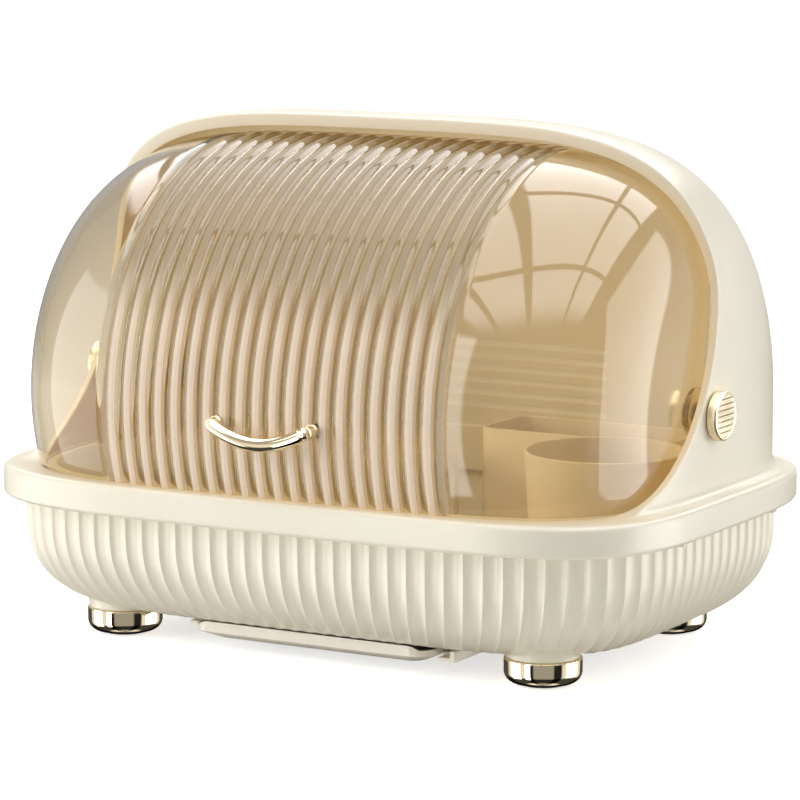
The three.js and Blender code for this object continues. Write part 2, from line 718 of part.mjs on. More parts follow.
const hingePin = () => joined([
  post(pinHeadRadius, earOuterFace - earThickness - restGap - pinHeadThickness,
    earOuterFace - earThickness - restGap, 0, 0, roundSteps),
  post(pinRadius, earOuterFace - earThickness - restGap - pinHeadThickness,
    knobBack + knobSocketDepth - restGap, 0, 0, roundSteps),
]);

const hingeSpacer = () => post(spacerRadius, earOuterFace + restGap, bushInnerFace - restGap, 0, 0, roundSteps)
  .subtract(post(pinRadius + runningGap, earOuterFace - cutOverrun, bushInnerFace + cutOverrun,
    0, 0, roundSteps));

const hingeBush = () => joined([
  post(bushFlangeRadius, bushInnerFace, bushInnerFace + bushFlangeThickness, 0, 0, roundSteps),
  post(bushRadius, bushInnerFace, hoodHalfWidth + restGap, 0, 0, roundSteps),
]).subtract(post(pinRadius + runningGap, bushInnerFace - cutOverrun, hoodHalfWidth + cutOverrun,
  0, 0, roundSteps));

// Round knob whose face carries parallel ridges; local X is the ridges' direction after it is laid
function hingeKnob() {
  const front = knobBack + knobDepth;
  const body = turned([
    [0, knobBack], [knobRadius - knobEdgeRound / 2, knobBack], [knobRadius, knobBack + knobEdgeRound / 2],
    [knobRadius, front - knobEdgeRound], [knobRadius - knobEdgeRound / 3, front - knobEdgeRound / 3],
    [knobRadius - knobEdgeRound, front], [0, front],
  ]);
  const faceRadius = knobRadius - knobEdgeRound * 2;
  const pitch = 2 * faceRadius / knobRidgeCount;
  const grooves = Array.from({ length: knobRidgeCount - 1 }, (_, i) => {
    const place = -faceRadius + pitch * (i + 1);
    const half = Math.sqrt(faceRadius ** 2 - place ** 2);
    return block([place - pitch / 4, -half, front - knobRidgeDepth], [place + pitch / 4, half, front + cutOverrun]);
  });
  const socket = post(pinRadius + runningGap, knobBack - cutOverrun, knobBack + knobSocketDepth,
    0, 0, roundSteps);
  return body.subtract(joined([...grooves, socket]));
}

// The pull handle: a drooping round bar cast with two posts and their feet, in the pivot's frame
const handleSteps = 8;
const handleSides = 8;

function pullHandle() {
  const endY = -coverRadius - handleStandoff;
  const endZ = handleEndHeight - pivotHeight;
  const path = new THREE.QuadraticBezierCurve3(
    new THREE.Vector3(-handleHalfSpan, endY, endZ),
    new THREE.Vector3(0, endY - handleBulge * 2, endZ - handleSag * 2),
    new THREE.Vector3(handleHalfSpan, endY, endZ));
  const section = new THREE.Shape();
  for (let i = 0; i < handleSides; i += 1) {
    const angle = 2 * Math.PI * i / handleSides;
    section[i ? 'lineTo' : 'moveTo'](handleTubeRadius * Math.cos(angle), handleTubeRadius * Math.sin(angle));
  }
  section.closePath();
  const bar = solidFromGeometry(new THREE.ExtrudeGeometry(section, {
    steps: handleSteps, extrudePath: path, bevelEnabled: false,
  }));
  const pieces = [-1, 1].flatMap((side) => {
    const knuckle = solidFromGeometry(new THREE.SphereGeometry(handleTubeRadius, smallSteps, smallSteps / 2))
      .translate([side * handleHalfSpan, endY, endZ]);
    const stem = alongY(post(handlePostRadius, endY, -coverRadius - restGap))
      .translate([side * handleHalfSpan, 0, endZ]);
    const foot = alongY(post(handleFootRadius, -coverRadius - restGap - handleFootThickness,
      -coverRadius - restGap)).translate([side * handleHalfSpan, 0, endZ]);
    return [knuckle, stem, foot];
  });
  const screwHoles = [-1, 1].map((side) => alongY(post(handleScrewRadius + runningGap,
    -handleScrewTip - restGap, -coverRadius + cutOverrun)).translate([side * handleHalfSpan, 0, endZ]));
  return joined([bar, ...pieces]).subtract(joined(screwHoles));
}

const handlePadInnerFace = coverRadius - coverRibDepth - coverWall - handlePadRise;
const handleScrewSeat = handlePadInnerFace - restGap - handleWasherThickness;
const handleScrewTip = handleScrewSeat + handleScrewLength;

const handleScrew = () => joined([
  post(handleScrewHeadRadius, -handleScrewSeat + restGap, -handleScrewSeat + restGap + handleScrewHeadHeight),
  post(handleScrewRadius, -handleScrewTip, -handleScrewSeat + handleScrewHeadHeight),
]);

const handleWasher = () => post(handleWasherRadius, -handlePadInnerFace + restGap, -handleScrewSeat)
  .subtract(post(handleScrewRadius + runningGap, -coverRadius, 0));

// Ring of a box with rounded corners at one height
function boxRing(left, right, front, back, corner, z) {
  const points = [];
  [[right, front, -1], [right, back, 0], [left, back, 1], [left, front, 2]].forEach(([x, y, quarter]) => {
    const middle = [x + (x === right ? -corner : corner), y + (y === back ? -corner : corner)];
    for (let i = 0; i <= cornerSteps; i += 1) {
      const angle = quarterTurn * (quarter + i / cornerSteps);
      points.push([middle[0] + corner * Math.cos(angle), middle[1] + corner * Math.sin(angle), z]);
    }
  });
  return points;
}

// Drip tray: chamfered below, with side flanges that run on the runners and a raised front lip
function dripTray() {
  const ring = (inset, z) => boxRing(-trayHalfLength + inset, trayHalfLength - inset, trayFrontY + inset,
    trayBackY - inset, trayCorner, z);
  const outer = loftSolid([ring(trayChamfer, trayBottomHeight), ring(0, trayShoulderHeight),
    ring(0, trayTopHeight)]);
  const hollow = loftSolid([ring(trayChamfer + trayWall, trayBottomHeight + trayWall),
    ring(trayWall, trayShoulderHeight + trayWall / 2), ring(trayWall, trayLipHeight + cutOverrun)]);
  const lip = loftSolid([ring(0, trayShoulderHeight), ring(0, trayLipHeight)])
    .subtract(block([-rimHalfWidth, trayFrontY + trayLipThickness, 0],
      [rimHalfWidth, trayBackY + cutOverrun, trayLipHeight + cutOverrun]));
  const flangeTop = trayShoulderHeight + trayFlangeThickness;
  const flanges = [-1, 1].map((side) => block(
    [side * trayHalfLength - trayFlangeReach, trayFrontY + trayCorner + runnerWall, trayShoulderHeight],
    [side * trayHalfLength + trayFlangeReach, trayBackY - trayCorner, flangeTop]));
  return joined([outer, lip, ...flanges]).subtract(hollow);
}

function trayRunner(setback) {
  const frontY = trayFrontY + setback;
  const inside = trayHalfLength + trayFlangeReach + restGap * 2;
  const top = tubFloorHeight - restGap;
  const ledgeTop = trayShoulderHeight - restGap;
  return joined([
    block([inside, frontY, runnerBottomHeight], [inside + runnerWall, trayBackY, top]),
    block([inside - runnerLedge, frontY, ledgeTop - runnerLedgeThickness],
      [inside + runnerWall, trayBackY, ledgeTop]),
  ]);
}

// Nozzle in the tub's floor above the drip tray
function drainNozzle() {
  const floor = tubFloorHeight + tubFloorThickness;
  const bore = drainHoleRadius - nozzleWall;
  return turned([
    [bore, tubFloorHeight - nozzleBelow], [drainHoleRadius, tubFloorHeight - nozzleBelow],
    [drainHoleRadius, floor + restGap], [drainHoleRadius + nozzleFlangeReach, floor + restGap],
    [drainHoleRadius + nozzleFlangeReach, floor + restGap + nozzleFlangeThickness / 2],
    [drainHoleRadius, floor + restGap + nozzleFlangeThickness],
    [bore, floor + restGap + nozzleFlangeThickness], [bore, tubFloorHeight - nozzleBelow],
  ]);
}

// Slotted board that carries the rack, the cup and the box over the tub's floor
const boardTop = boardHeight + boardThickness;

function drainBoard() {
  const rise = tubInnerRound - (boardHeight - tubFloorHeight - tubFloorThickness);
  const boardPlan = grown(tubPlan, -tubInnerInset - boardClearance
    - tubInnerRound + Math.sqrt(tubInnerRound ** 2 - rise ** 2));
  const slots = [];
  for (let column = 0; column < boardSlotColumns; column += 1) {
    for (let row = 0; row < boardSlotRows; row += 1) {
      const x = boardSlotPitchX * (column - (boardSlotColumns - 1) / 2);
      const y = boardSlotPitchY * (row - (boardSlotRows - 1) / 2);
      slots.push(block([x - boardSlotLength / 2, y - boardSlotWidth / 2, boardHeight - cutOverrun],
        [x + boardSlotLength / 2, y + boardSlotWidth / 2, boardTop + cutOverrun]));
    }
  }
  const legs = [-1, 0, 1].flatMap((sx) => [-1, 1].map((sy) => post(boardLegRadius,
    tubFloorHeight + tubFloorThickness + restGap, boardHeight + boardThickness / 2,
    sx * boardLegPlaceX, sy * boardLegPlaceY)));
  return planSlab(boardPlan, boardHeight, boardTop).subtract(joined(slots)).add(joined(legs));
}

// Plate rack: hoops that stand across two rails, one plate between each pair
const rackFloor = boardTop + restGap;

function plateRack() {
  const top = rackFloor + rackStandingHeight;
  const inner = rackHalfDepth - rackStrip;
  const hoop = roundedOutline([
    [-rackHalfDepth, rackFloor], [-inner, rackFloor], [-inner, top - rackStrip, rackHoopRound - rackStrip],
    [inner, top - rackStrip, rackHoopRound - rackStrip], [inner, rackFloor], [rackHalfDepth, rackFloor],
    [rackHalfDepth, top, rackHoopRound], [-rackHalfDepth, top, rackHoopRound],
  ]);
  const hoops = Array.from({ length: rackHoopCount }, (_, i) => {
    const x = rackLeftX + rackHoopPitch * i;
    return drawnAlongX(hoop, x, x + rackHoopThickness, 3);
  });
  const rackRightX = rackLeftX + rackHoopPitch * (rackHoopCount - 1) + rackHoopThickness;
  const rails = [-1, 1].map((side) => {
    const middle = side * (rackHalfDepth - rackStrip / 2);
    return block([rackLeftX, middle - rackRailWidth / 2, rackFloor],
      [rackRightX, middle + rackRailWidth / 2, rackFloor + rackRailHeight]);
  });
  return joined([...hoops, ...rails]);
}

function cutleryCup() {
  const floor = boardTop + restGap;
  const body = turned([[0, floor], [cupBottomRadius, floor], [cupTopRadius, cupTopHeight],
    [cupTopRadius - cupWall, cupTopHeight], [cupBottomRadius - cupWall, floor + cupWall],
    [0, floor + cupWall]]);
  const drains = Array.from({ length: cupDrainCount }, (_, i) => {
    const angle = 2 * Math.PI * i / cupDrainCount;
    return post(cupDrainRadius, floor - cutOverrun, floor + cutOverrun,
      cupDrainCircle * Math.cos(angle), cupDrainCircle * Math.sin(angle), smallSteps / 2);
  });
  return body.subtract(joined(drains));
}

function utensilBox() {
  const floor = boardTop + restGap;
  const ring = (inset, z) => boxRing(boxLeftX + inset, boxRightX - inset, boxFrontY + inset,
    boxBackY - inset, boxCorner - inset, z);
  const middleX = (boxLeftX + boxRightX) / 2;
  const middleY = (boxFrontY + boxBackY) / 2;
  const divider = block([middleX - boxWall / 2, boxFrontY + boxWall / 2, floor],
    [middleX + boxWall / 2, boxBackY - boxWall / 2, (floor + boxTopHeight * 2) / 3]);
  const drains = [-1, 1].flatMap((sx) => [-1, 0, 1].map((sy) => {
    const x = middleX + sx * (boxRightX - boxLeftX) / 4;
    const y = middleY + sy * boxDrainWidth * 3;
    return block([x - boxDrainLength / 2, y - boxDrainWidth / 2, floor - cutOverrun],
      [x + boxDrainLength / 2, y + boxDrainWidth / 2, floor + cutOverrun]);
  }));
  return loftSolid([ring(0, floor), ring(0, boxTopHeight)])
    .subtract(loftSolid([ring(boxWall, floor + boxWall), ring(boxWall, boxTopHeight + cutOverrun)]))
    .add(divider)
    .subtract(joined(drains));
}

// Named mesh of a solid
function piece(name, solid, finish) {
  const { vertProperties, triVerts } = solid.getMesh();
  const geometry = new THREE.BufferGeometry();
  geometry.setAttribute('position', new THREE.BufferAttribute(vertProperties, 3));
  geometry.setIndex(new THREE.BufferAttribute(triVerts, 1));
  geometry.computeVertexNormals();
  const mesh = new THREE.Mesh(geometry, new THREE.MeshStandardMaterial(finish));
  mesh.name = name;
  return mesh;
}

const drainer = new THREE.Group();

// Tub with its feet, the drip tray and the runners
const base = new THREE.Group();
base.add(piece('base_tub', baseTub(), cream));
footPlaces.forEach(([x, y], i) => {
  const foot = new THREE.Group();
  foot.position.set(x, y, 0);
  foot.add(piece(`foot_cup_${footNames[i]}`, footCup(), paleGold));
  foot.add(piece(`foot_pad_${footNames[i]}`, footPad(), softGrey));
  foot.add(piece(`foot_screw_${footNames[i]}`, footScrew(), steel));
  base.add(foot);
});
const nozzle = piece('drain_nozzle', drainNozzle(), innerWhite);
nozzle.position.set(0, drainPlaceY, 0);
base.add(nozzle);
base.add(piece('drip_tray', dripTray(), cream));
base.add(piece('tray_runner_right', trayRunner(rightRunnerSetback), cream));
base.add(piece('tray_runner_left', trayRunner(leftRunnerSetback).scale([-1, 1, 1]), cream));
drainer.add(base);

// Housing with its screws
const upper = new THREE.Group();
upper.add(piece('upper_housing', upperHousing(), cream));
const screwNames = ['front_left', 'back_left', 'front_right', 'back_right'];
housingScrewPlaces.forEach(([x, y], i) => {
  const screw = piece(`housing_screw_${screwNames[i]}`, housingScrew(), steel);
  screw.position.set(x, y, 0);
  upper.add(screw);
});
drainer.add(upper);

// Cover, handle and knobs about the pivot line
const swing = new THREE.Group();
swing.position.set(0, 0, pivotHeight);
swing.add(piece('clear_cover', clearCover(), amber));
swing.add(piece('pull_handle', pullHandle(), paleGold));
for (const [side, word] of [[-1, 'left'], [1, 'right']]) {
  const place = [side * handleHalfSpan, 0, handleEndHeight - pivotHeight];
  swing.add(piece(`handle_screw_${word}`, alongY(handleScrew()).translate(place), steel));
  swing.add(piece(`handle_washer_${word}`, alongY(handleWasher()).translate(place), softGrey));
  const laid = (solid) => alongX(solid).scale([side, 1, 1]);
  swing.add(piece(`hinge_pin_${word}`, laid(hingePin()), steel));
  swing.add(piece(`hinge_spacer_${word}`, laid(hingeSpacer()), innerWhite));
  swing.add(piece(`hinge_bush_${word}`, laid(hingeBush()), innerWhite));
  swing.add(piece(`hinge_knob_${word}`, laid(hingeKnob()), paleGold));
}
drainer.add(swing);

// Loose pieces inside
const inside = new THREE.Group();
inside.add(piece('drain_board', drainBoard(), innerWhite));
inside.add(piece('plate_rack', plateRack(), innerWhite));
const cup = piece('cutlery_cup', cutleryCup(), innerWhite);
cup.position.set(cupPlaceX, cupPlaceY, 0);
inside.add(cup);
inside.add(piece('utensil_box', utensilBox(), innerWhite));
drainer.add(inside);

export default drainer;
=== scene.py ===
import bmesh
import bpy
import numpy as np
from mathutils import Matrix, Vector


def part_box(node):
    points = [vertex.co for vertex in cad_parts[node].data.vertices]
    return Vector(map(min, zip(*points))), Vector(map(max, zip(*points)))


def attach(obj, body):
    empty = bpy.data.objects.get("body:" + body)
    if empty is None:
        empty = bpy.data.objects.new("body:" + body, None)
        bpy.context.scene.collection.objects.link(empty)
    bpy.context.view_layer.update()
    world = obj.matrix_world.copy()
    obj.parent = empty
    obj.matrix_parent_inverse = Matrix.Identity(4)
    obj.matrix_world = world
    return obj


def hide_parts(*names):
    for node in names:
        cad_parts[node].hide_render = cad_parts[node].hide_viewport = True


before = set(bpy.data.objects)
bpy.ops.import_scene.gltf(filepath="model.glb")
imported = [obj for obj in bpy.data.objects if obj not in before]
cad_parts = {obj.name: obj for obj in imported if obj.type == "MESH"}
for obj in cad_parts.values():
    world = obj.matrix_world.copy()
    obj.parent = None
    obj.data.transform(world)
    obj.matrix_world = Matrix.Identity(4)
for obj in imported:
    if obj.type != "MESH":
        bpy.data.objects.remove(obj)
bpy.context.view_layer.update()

# Base tub: the deep lower half, injection moulded in cream plastic. Flutes run all round its outside
# and fade out in the rounded bottom; a flange at its top lies under the rim of the housing.
# Sizes are millimetres, brought to metres where a mesh is made. The floor, lamps and camera are in metres.
MILLIMETRE = 0.001
housing_low, housing_high = np.array(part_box("upper_housing")) / MILLIMETRE
rim_half, rim_front, rim_back = housing_high[0], -housing_low[1], housing_high[1]
rim_plan = np.array([rim_half, rim_front, rim_back, 4.5, 4.25])
tub_inset = 11.0
tub_floor = 16.0
tub_floor_thickness = 3.0
tub_wall = 2.4
tub_bottom_round = 56.0
tub_bottom_power = 2.4
tub_bottom_steps, tub_inside_steps = 26, 14
flange_bottom, flange_top = 83.3, 86.0
tub_wall_heights = (flange_bottom, 80.0, 76.0)
floor_shares = (0.2, 0.5, 0.8, 1)
flange_inset = 2.9
flute_count = 108
flute_points = 10
flute_depth = 2.05
flute_sharpness = 0.6
flute_fade_start, flute_fade_end = np.radians([42, 84])
drain_place = np.array([0.0, -20.0])
drain_radius = 8.1
weld_distance, least_edge = 2e-6, 1e-7


def grown(plan, by):
    """The plan with its half width and both depths larger by the given length."""
    return plan + np.array([by, by, by, 0, 0])


def plan_place(walk, plan):
    """Superellipse |x / half width| ** power + |y / depth| ** power = 1, with its own depth and power
    before and behind the middle. walk runs 0 to 4 over the quarters, from the left end along the front."""
    half_width, front, back, front_power, back_power = plan
    quarter = np.floor(walk)
    share = walk - quarter
    turn = (quarter + share ** 2 * (3 - 2 * share)) * np.pi / 2
    cosine, sine = np.cos(turn), np.sin(turn)
    behind = sine < 0
    power = 2 / np.where(behind, back_power, front_power)
    x = -half_width * np.sign(cosine) * np.abs(cosine) ** power
    y = -np.where(behind, back, front) * np.sign(sine) * np.abs(sine) ** power
    return np.stack([x, y], -1)


def lengths(line):
    """Distance along a line from its start to each of its points."""
    return np.concatenate([[0], np.cumsum(np.linalg.norm(np.diff(line, axis=0), axis=1))])


def even_walk(count, plan):
    """Walk values of points spaced evenly along a plan's length."""
    fine = np.linspace(0, 4, 16001)
    reach = lengths(plan_place(fine, plan))
    return np.interp(np.arange(count) / count * reach[-1], reach, fine)


def inward_of(ring):
    """Unit vectors that point into a closed ring walked anticlockwise."""
    along = np.roll(ring, -1, 0) - np.roll(ring, 1, 0)
    along /= np.linalg.norm(along, axis=1, keepdims=True)
    return np.stack([-along[:, 1], along[:, 0]], -1)


def eased(value, start, end):
    """0 before start, 1 after end, and a smooth cubic step between them."""
    share = np.clip((value - start) / (end - start), 0, 1)
    return share ** 2 * (3 - 2 * share)


def at_height(ring, z):
    """Ring of (x, y) points lifted to a height."""
    return np.concatenate([ring, np.broadcast_to(np.asarray(z, float).reshape(-1, 1), (len(ring), 1))], 1)


def skin(name, rows, body, node, material, ring=True, loop=False, sharp=38):
    """Mesh over a grid of points in millimetres. A ring closes each row on itself, and a loop joins the
    last row to the first. Rows that meet in one point become a pole, and faces are turned outwards."""
    grid = np.asarray(rows, float)
    count, columns = grid.shape[:2]
    index = np.arange(count * columns).reshape(count, columns)
    index = np.vstack([index, index[:1]]) if loop else index
    index = np.hstack([index, index[:, :1]]) if ring else index
    quads = np.stack([index[:-1, :-1], index[1:, :-1], index[1:, 1:], index[:-1, 1:]], -1).reshape(-1, 4)
    mesh = bpy.data.meshes.new(name)
    mesh.from_pydata((grid.reshape(-1, 3) * MILLIMETRE).tolist(), [], quads.tolist())
    return finished(name, mesh, body, node, material, sharp)


def put(name, data):
    """New object of a mesh, a lamp or a camera, in the scene."""
    piece = bpy.data.objects.new(name, data)
    bpy.context.scene.collection.objects.link(piece)
    return piece


def finished(name, mesh, body, nodes, material, sharp):
    """Merges a mesh's doubles, turns it outwards, smooths it up to the sharp angle, paints it and lets it
    ride on its body in place of its CAD nodes."""
    work = bmesh.new()
    work.from_mesh(mesh)
    bmesh.ops.remove_doubles(work, verts=work.verts, dist=weld_distance)
    bmesh.ops.dissolve_degenerate(work, edges=work.edges, dist=least_edge)
    if work.calc_volume(signed=True) < 0:
        bmesh.ops.reverse_faces(work, faces=work.faces)
    work.to_mesh(mesh)
    work.free()
    mesh.shade_smooth()
    mesh.set_sharp_from_angle(angle=np.radians(sharp))
    mesh.materials.clear()
    mesh.materials.append(material)
    piece = put(name, mesh)
    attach(piece, body)
    nodes = [nodes] if isinstance(nodes, str) else nodes
    if nodes:
        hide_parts(*nodes)
    return piece


def feed(material, socket, value):
    """Gives a socket a value, or links another node's socket to it. A plain colour gets its fourth part."""
    if isinstance(value, bpy.types.NodeSocket):
        material.node_tree.links.new(value, socket)
    else:
        socket.default_value = (*value, 1) if socket.type == "RGBA" else value


def shade(material, **sockets):
    """Feeds sockets of a material's Principled shader, by name."""
    shader = material.node_tree.nodes["Principled BSDF"]
    for word, value in sockets.items():
        feed(material, shader.inputs[word.replace("_", " ")], value)


def painted(name, colour, roughness, **sockets):
    """Principled material with its base colour and roughness set, and further sockets by name."""
    material = bpy.data.materials.new(name)
    material.use_nodes = True
    shade(material, Base_Color=colour, Roughness=roughness, **sockets)
    return material


def wire(material, kind, **settings):
    """New node of a material. Sockets take values or other nodes' sockets; other words are settings."""
    node = material.node_tree.nodes.new(kind)
    for word, value in settings.items():
        socket = node.inputs.get(word.replace("_", " "))
        if socket is None:
            setattr(node, word, value)
        else:
            feed(material, socket, value)
    return node


def noise(material, scale, detail):
    """Noise between 0 and 1 on the object's own coordinates."""
    place = wire(material, "ShaderNodeTexCoord").outputs["Object"]
    return wire(material, "ShaderNodeTexNoise", Vector=place, Scale=scale, Detail=detail).outputs["Fac"]


def cloudy(material, scale, detail, low, high):
    """Soft cloud: the middle stretch of the noise, brought between two values."""
    return wire(material, "ShaderNodeMapRange", Value=noise(material, scale, detail), From_Min=0.3,
                From_Max=0.7, To_Min=low, To_Max=high).outputs["Result"]


def mixed(material, share, first, second):
    """Mix of two colours by a share. Each may be another node's socket."""
    mix = wire(material, "ShaderNodeMix", data_type="RGBA")
    for place, value in zip((0, 6, 7), (share, first, second)):
        feed(material, mix.inputs[place], value)
    return mix.outputs[2]


def toned(material, scale, detail, light, deep):
    """Lets the base colour drift between two near tones in soft clouds."""
    shade(material, Base_Color=mixed(material, cloudy(material, scale, detail, 0.0, 1.0), light, deep))


def grain(material, scale, depth, roughness_low, roughness_high):
    """Fine moulded grain: a bump of small noise, and a roughness that drifts between two values."""
    bump = wire(material, "ShaderNodeBump", Height=noise(material, scale, 3.0), Strength=0.35, Distance=depth)
    shade(material, Normal=bump.outputs["Normal"],
          Roughness=cloudy(material, scale / 40, 4.0, roughness_low, roughness_high))


cream_light, cream_deep = (0.885, 0.835, 0.70), (0.86, 0.80, 0.655)


def cream_plastic(name, light, deep):
    """Satin moulded plastic: two near creams in soft clouds under a thin gloss, with a fine grain."""
    material = painted(name, light, roughness=0.36, IOR=1.46, Coat_Weight=0.25, Coat_Roughness=0.22)
    toned(material, scale=14.0, detail=5.0, light=light, deep=deep)
    grain(material, scale=2600.0, depth=0.00004, roughness_low=0.31, roughness_high=0.42)
    return material


tub_cream = cream_plastic("tub_cream", cream_light, cream_deep)

tub_plan = grown(rim_plan, -tub_inset)
tub_walk = even_walk(flute_count * flute_points, tub_plan)
tub_inward = inward_of(plan_place(tub_walk, tub_plan))
across_flute = (np.arange(len(tub_walk)) % flute_points) / flute_points
flute_sink = flute_depth * np.sin(np.pi * across_flute) ** flute_sharpness


def tub_outside(angle, z=None):
    """Fluted ring where the rounded bottom has turned by angle from the wall, or on the wall at z. The
    round is a quarter superellipse, a little fuller than a circle."""
    inset = tub_bottom_round * (1 - np.abs(np.cos(angle)) ** (2 / tub_bottom_power))
    height = tub_floor + tub_bottom_round * (1 - np.sin(angle) ** (2 / tub_bottom_power)) if z is None else z
    sink = flute_sink * (1 - eased(angle, flute_fade_start, flute_fade_end))
    ring = at_height(plan_place(tub_walk, grown(tub_plan, -inset)), height)
    return ring + np.concatenate([tub_inward * np.cos(angle), np.full((len(ring), 1), np.sin(angle))],
                                 1) * sink[:, None]


def tub_inside(angle, z=None):
    """Plain ring of the inner wall, which follows the outside below the flutes."""
    inset = flute_depth + tub_wall
    bend = tub_bottom_round - inset
    height = tub_floor + tub_floor_thickness + bend * (1 - np.sin(angle)) if z is None else z
    return at_height(plan_place(tub_walk, grown(tub_plan, -inset - bend * (1 - np.cos(angle)))), height)


def floor_ring(share, rim, z):
    """Ring between a floor's edge and the drain hole, by a share."""
    turn = -np.pi + tub_walk * np.pi / 2
    hole = drain_place + drain_radius * np.stack([np.cos(turn), np.sin(turn)], -1)
    return at_height(rim[:, :2] * (1 - share) + hole * share, z)


under_edge, inner_edge = tub_outside(np.pi / 2), tub_inside(np.pi / 2)
flange_ring = plan_place(tub_walk, grown(rim_plan, -flange_inset))
tub_rows = [
    at_height(flange_ring, flange_top), at_height(flange_ring, flange_bottom),
    *[tub_outside(0.0, z) for z in tub_wall_heights],
    *[tub_outside(angle) for angle in np.linspace(0, np.pi / 2, tub_bottom_steps)],
    *[floor_ring(share, under_edge, tub_floor) for share in floor_shares],
    *[floor_ring(share, inner_edge, tub_floor + tub_floor_thickness) for share in floor_shares[::-1]],
    *[tub_inside(angle) for angle in np.linspace(np.pi / 2, 0, tub_inside_steps)],
    tub_inside(0.0, flange_top),
]
skin("base_tub_skin", tub_rows, "base", "base_tub", tub_cream, loop=True)

# Foot bosses: four round cream pads moulded under the tub, one above each metal foot. They rise to meet
# the rounded bottom.
corner_words = ("front_left", "front_right", "back_left", "back_right")
foot_places = [np.mean(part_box(f"foot_cup_{word}"), axis=0)[:2] / MILLIMETRE for word in corner_words]
boss_radius = 21.2
boss_spread = 1.6
boss_bottom = 15.8
boss_edge_round = 0.8
boss_overlap, boss_cap_overlap, boss_heart_rise = 1.0, 1.2, 1.5
circle = np.linspace(0, 2 * np.pi, 96, endpoint=False)
circle = np.stack([np.cos(circle), np.sin(circle)], -1)


def halved(inside, low, high):
    """Largest values that lie inside, found by halving between low and high."""
    for _ in range(36):
        middle = (low + high) / 2
        held = inside(middle)
        low, high = np.where(held, middle, low), np.where(held, high, middle)
    return low


def tub_underside(x, y):
    """Height of the tub's bottom over the points (x, y): the inset at which the plan passes through each
    point is found by halving, and the rounded bottom's quarter superellipse gives the height."""
    power = np.where(y > 0, tub_plan[4], tub_plan[3])
    depth = np.where(y > 0, tub_plan[2], tub_plan[1])

    def inside(inset):
        """Whether each point lies within the plan when that is drawn in by an inset."""
        return (np.abs(x) / (tub_plan[0] - inset)) ** power + (np.abs(y) / (depth - inset)) ** power < 1

    share = 1 - halved(inside, np.zeros_like(x), np.full_like(x, tub_bottom_round)) / tub_bottom_round
    return tub_floor + tub_bottom_round * (1 - (1 - share ** tub_bottom_power) ** (1 / tub_bottom_power))


def quarter(size, steps):
    """Quarter circle of a size as pairs: how far it is in from the side, and from the end it starts on."""
    turn = np.linspace(0, np.pi / 2, steps)
    return np.stack([size * (1 - np.sin(turn)), size * (1 - np.cos(turn))], -1)


for word, place in zip(corner_words, foot_places):
    outer = place + circle * (boss_radius + boss_spread)
    top = tub_underside(outer[:, 0], outer[:, 1])
    low = boss_bottom + boss_edge_round
    boss_rows = [at_height(place + circle * 0, boss_bottom)]
    boss_rows += [at_height(place + circle * (boss_radius - inset), boss_bottom + rise)
                  for inset, rise in quarter(boss_edge_round, 5)]
    for share in np.linspace(0.2, 1, 6):
        ring = place + circle * (boss_radius + boss_spread * (1 - np.sqrt(1 - share ** 2)))
        boss_rows.append(at_height(ring, low + (top + boss_overlap - low) * share))
    boss_rows.append(at_height(outer, top + boss_cap_overlap))
    boss_rows.append(at_height(place + circle * 0, tub_floor + boss_heart_rise))
    skin(f"foot_boss_{word}", boss_rows, "base", [], tub_cream)

# Feet: turned metal cups, polished and plated pale gold, with a full bottom round. Each holds a soft grey
# pad in its underside and is held by one screw up through the middle.
foot_radius = 22.2
foot_top, foot_bottom = 15.7, 1.2
foot_bottom_round = 6.8
foot_edge_round = 0.9
foot_bore_bevel = 0.5
pad_radius, pad_height = 13.0, 2.7
pad_gap = 0.3
pad_bevel, pad_bevel_middle = 0.6, 0.2
gold_light, gold_deep = (0.93, 0.80, 0.56), (0.88, 0.73, 0.47)
rubber_light, rubber_deep = (0.23, 0.22, 0.205), (0.17, 0.165, 0.155)
steel_light, steel_deep = (0.66, 0.66, 0.67), (0.5, 0.5, 0.51)


def gold_plate(name, roughness):
    """Polished pale gold plate: two near golds in broad clouds, and faint polishing haze in the gloss."""
    material = painted(name, gold_light, roughness, Metallic=1.0)
    toned(material, scale=30.0, detail=3.0, light=gold_light, deep=gold_deep)
    grain(material, scale=1800.0, depth=0.000006, roughness_low=roughness * 0.7,
          roughness_high=roughness * 1.5)
    return material


def soft_grey_rubber(name):
    """Matt grey rubber with a fine dry grain and a slightly uneven tone."""
    material = painted(name, rubber_light, roughness=0.8)
    toned(material, scale=90.0, detail=5.0, light=rubber_light, deep=rubber_deep)
    grain(material, scale=3800.0, depth=0.00008, roughness_low=0.72, roughness_high=0.9)
    return material


def turned(profile, place):
    """Rows of a piece turned about an upright line, from half-profile points (radius, height)."""
    return [at_height(place + circle * radius, z) for radius, z in profile]


foot_gold = gold_plate("foot_gold", roughness=0.05)
pad_rubber = soft_grey_rubber("pad_rubber")
bore_radius, bore_top = pad_radius + pad_gap, pad_height + pad_gap
foot_profile = [(0, foot_top), (0, bore_top), (bore_radius, bore_top),
                (bore_radius, foot_bottom + foot_bore_bevel), (bore_radius + foot_bore_bevel, foot_bottom)]
foot_profile += [(foot_radius - inset, foot_bottom + rise) for inset, rise in quarter(foot_bottom_round, 14)]
foot_profile += [(foot_radius - inset, foot_top - drop) for drop, inset in quarter(foot_edge_round, 6)]
pad_profile = [(0, pad_height), (pad_radius, pad_height), (pad_radius, pad_bevel),
               (pad_radius - pad_bevel_middle, pad_bevel_middle), (pad_radius - pad_bevel, 0), (0, 0)]
for word, place in zip(corner_words, foot_places):
    skin(f"foot_cup_skin_{word}", turned([*foot_profile, (0, foot_top)], place), "base", f"foot_cup_{word}",
         foot_gold)
    skin(f"foot_pad_skin_{word}", turned(pad_profile, place), "base", f"foot_pad_{word}",
         pad_rubber)


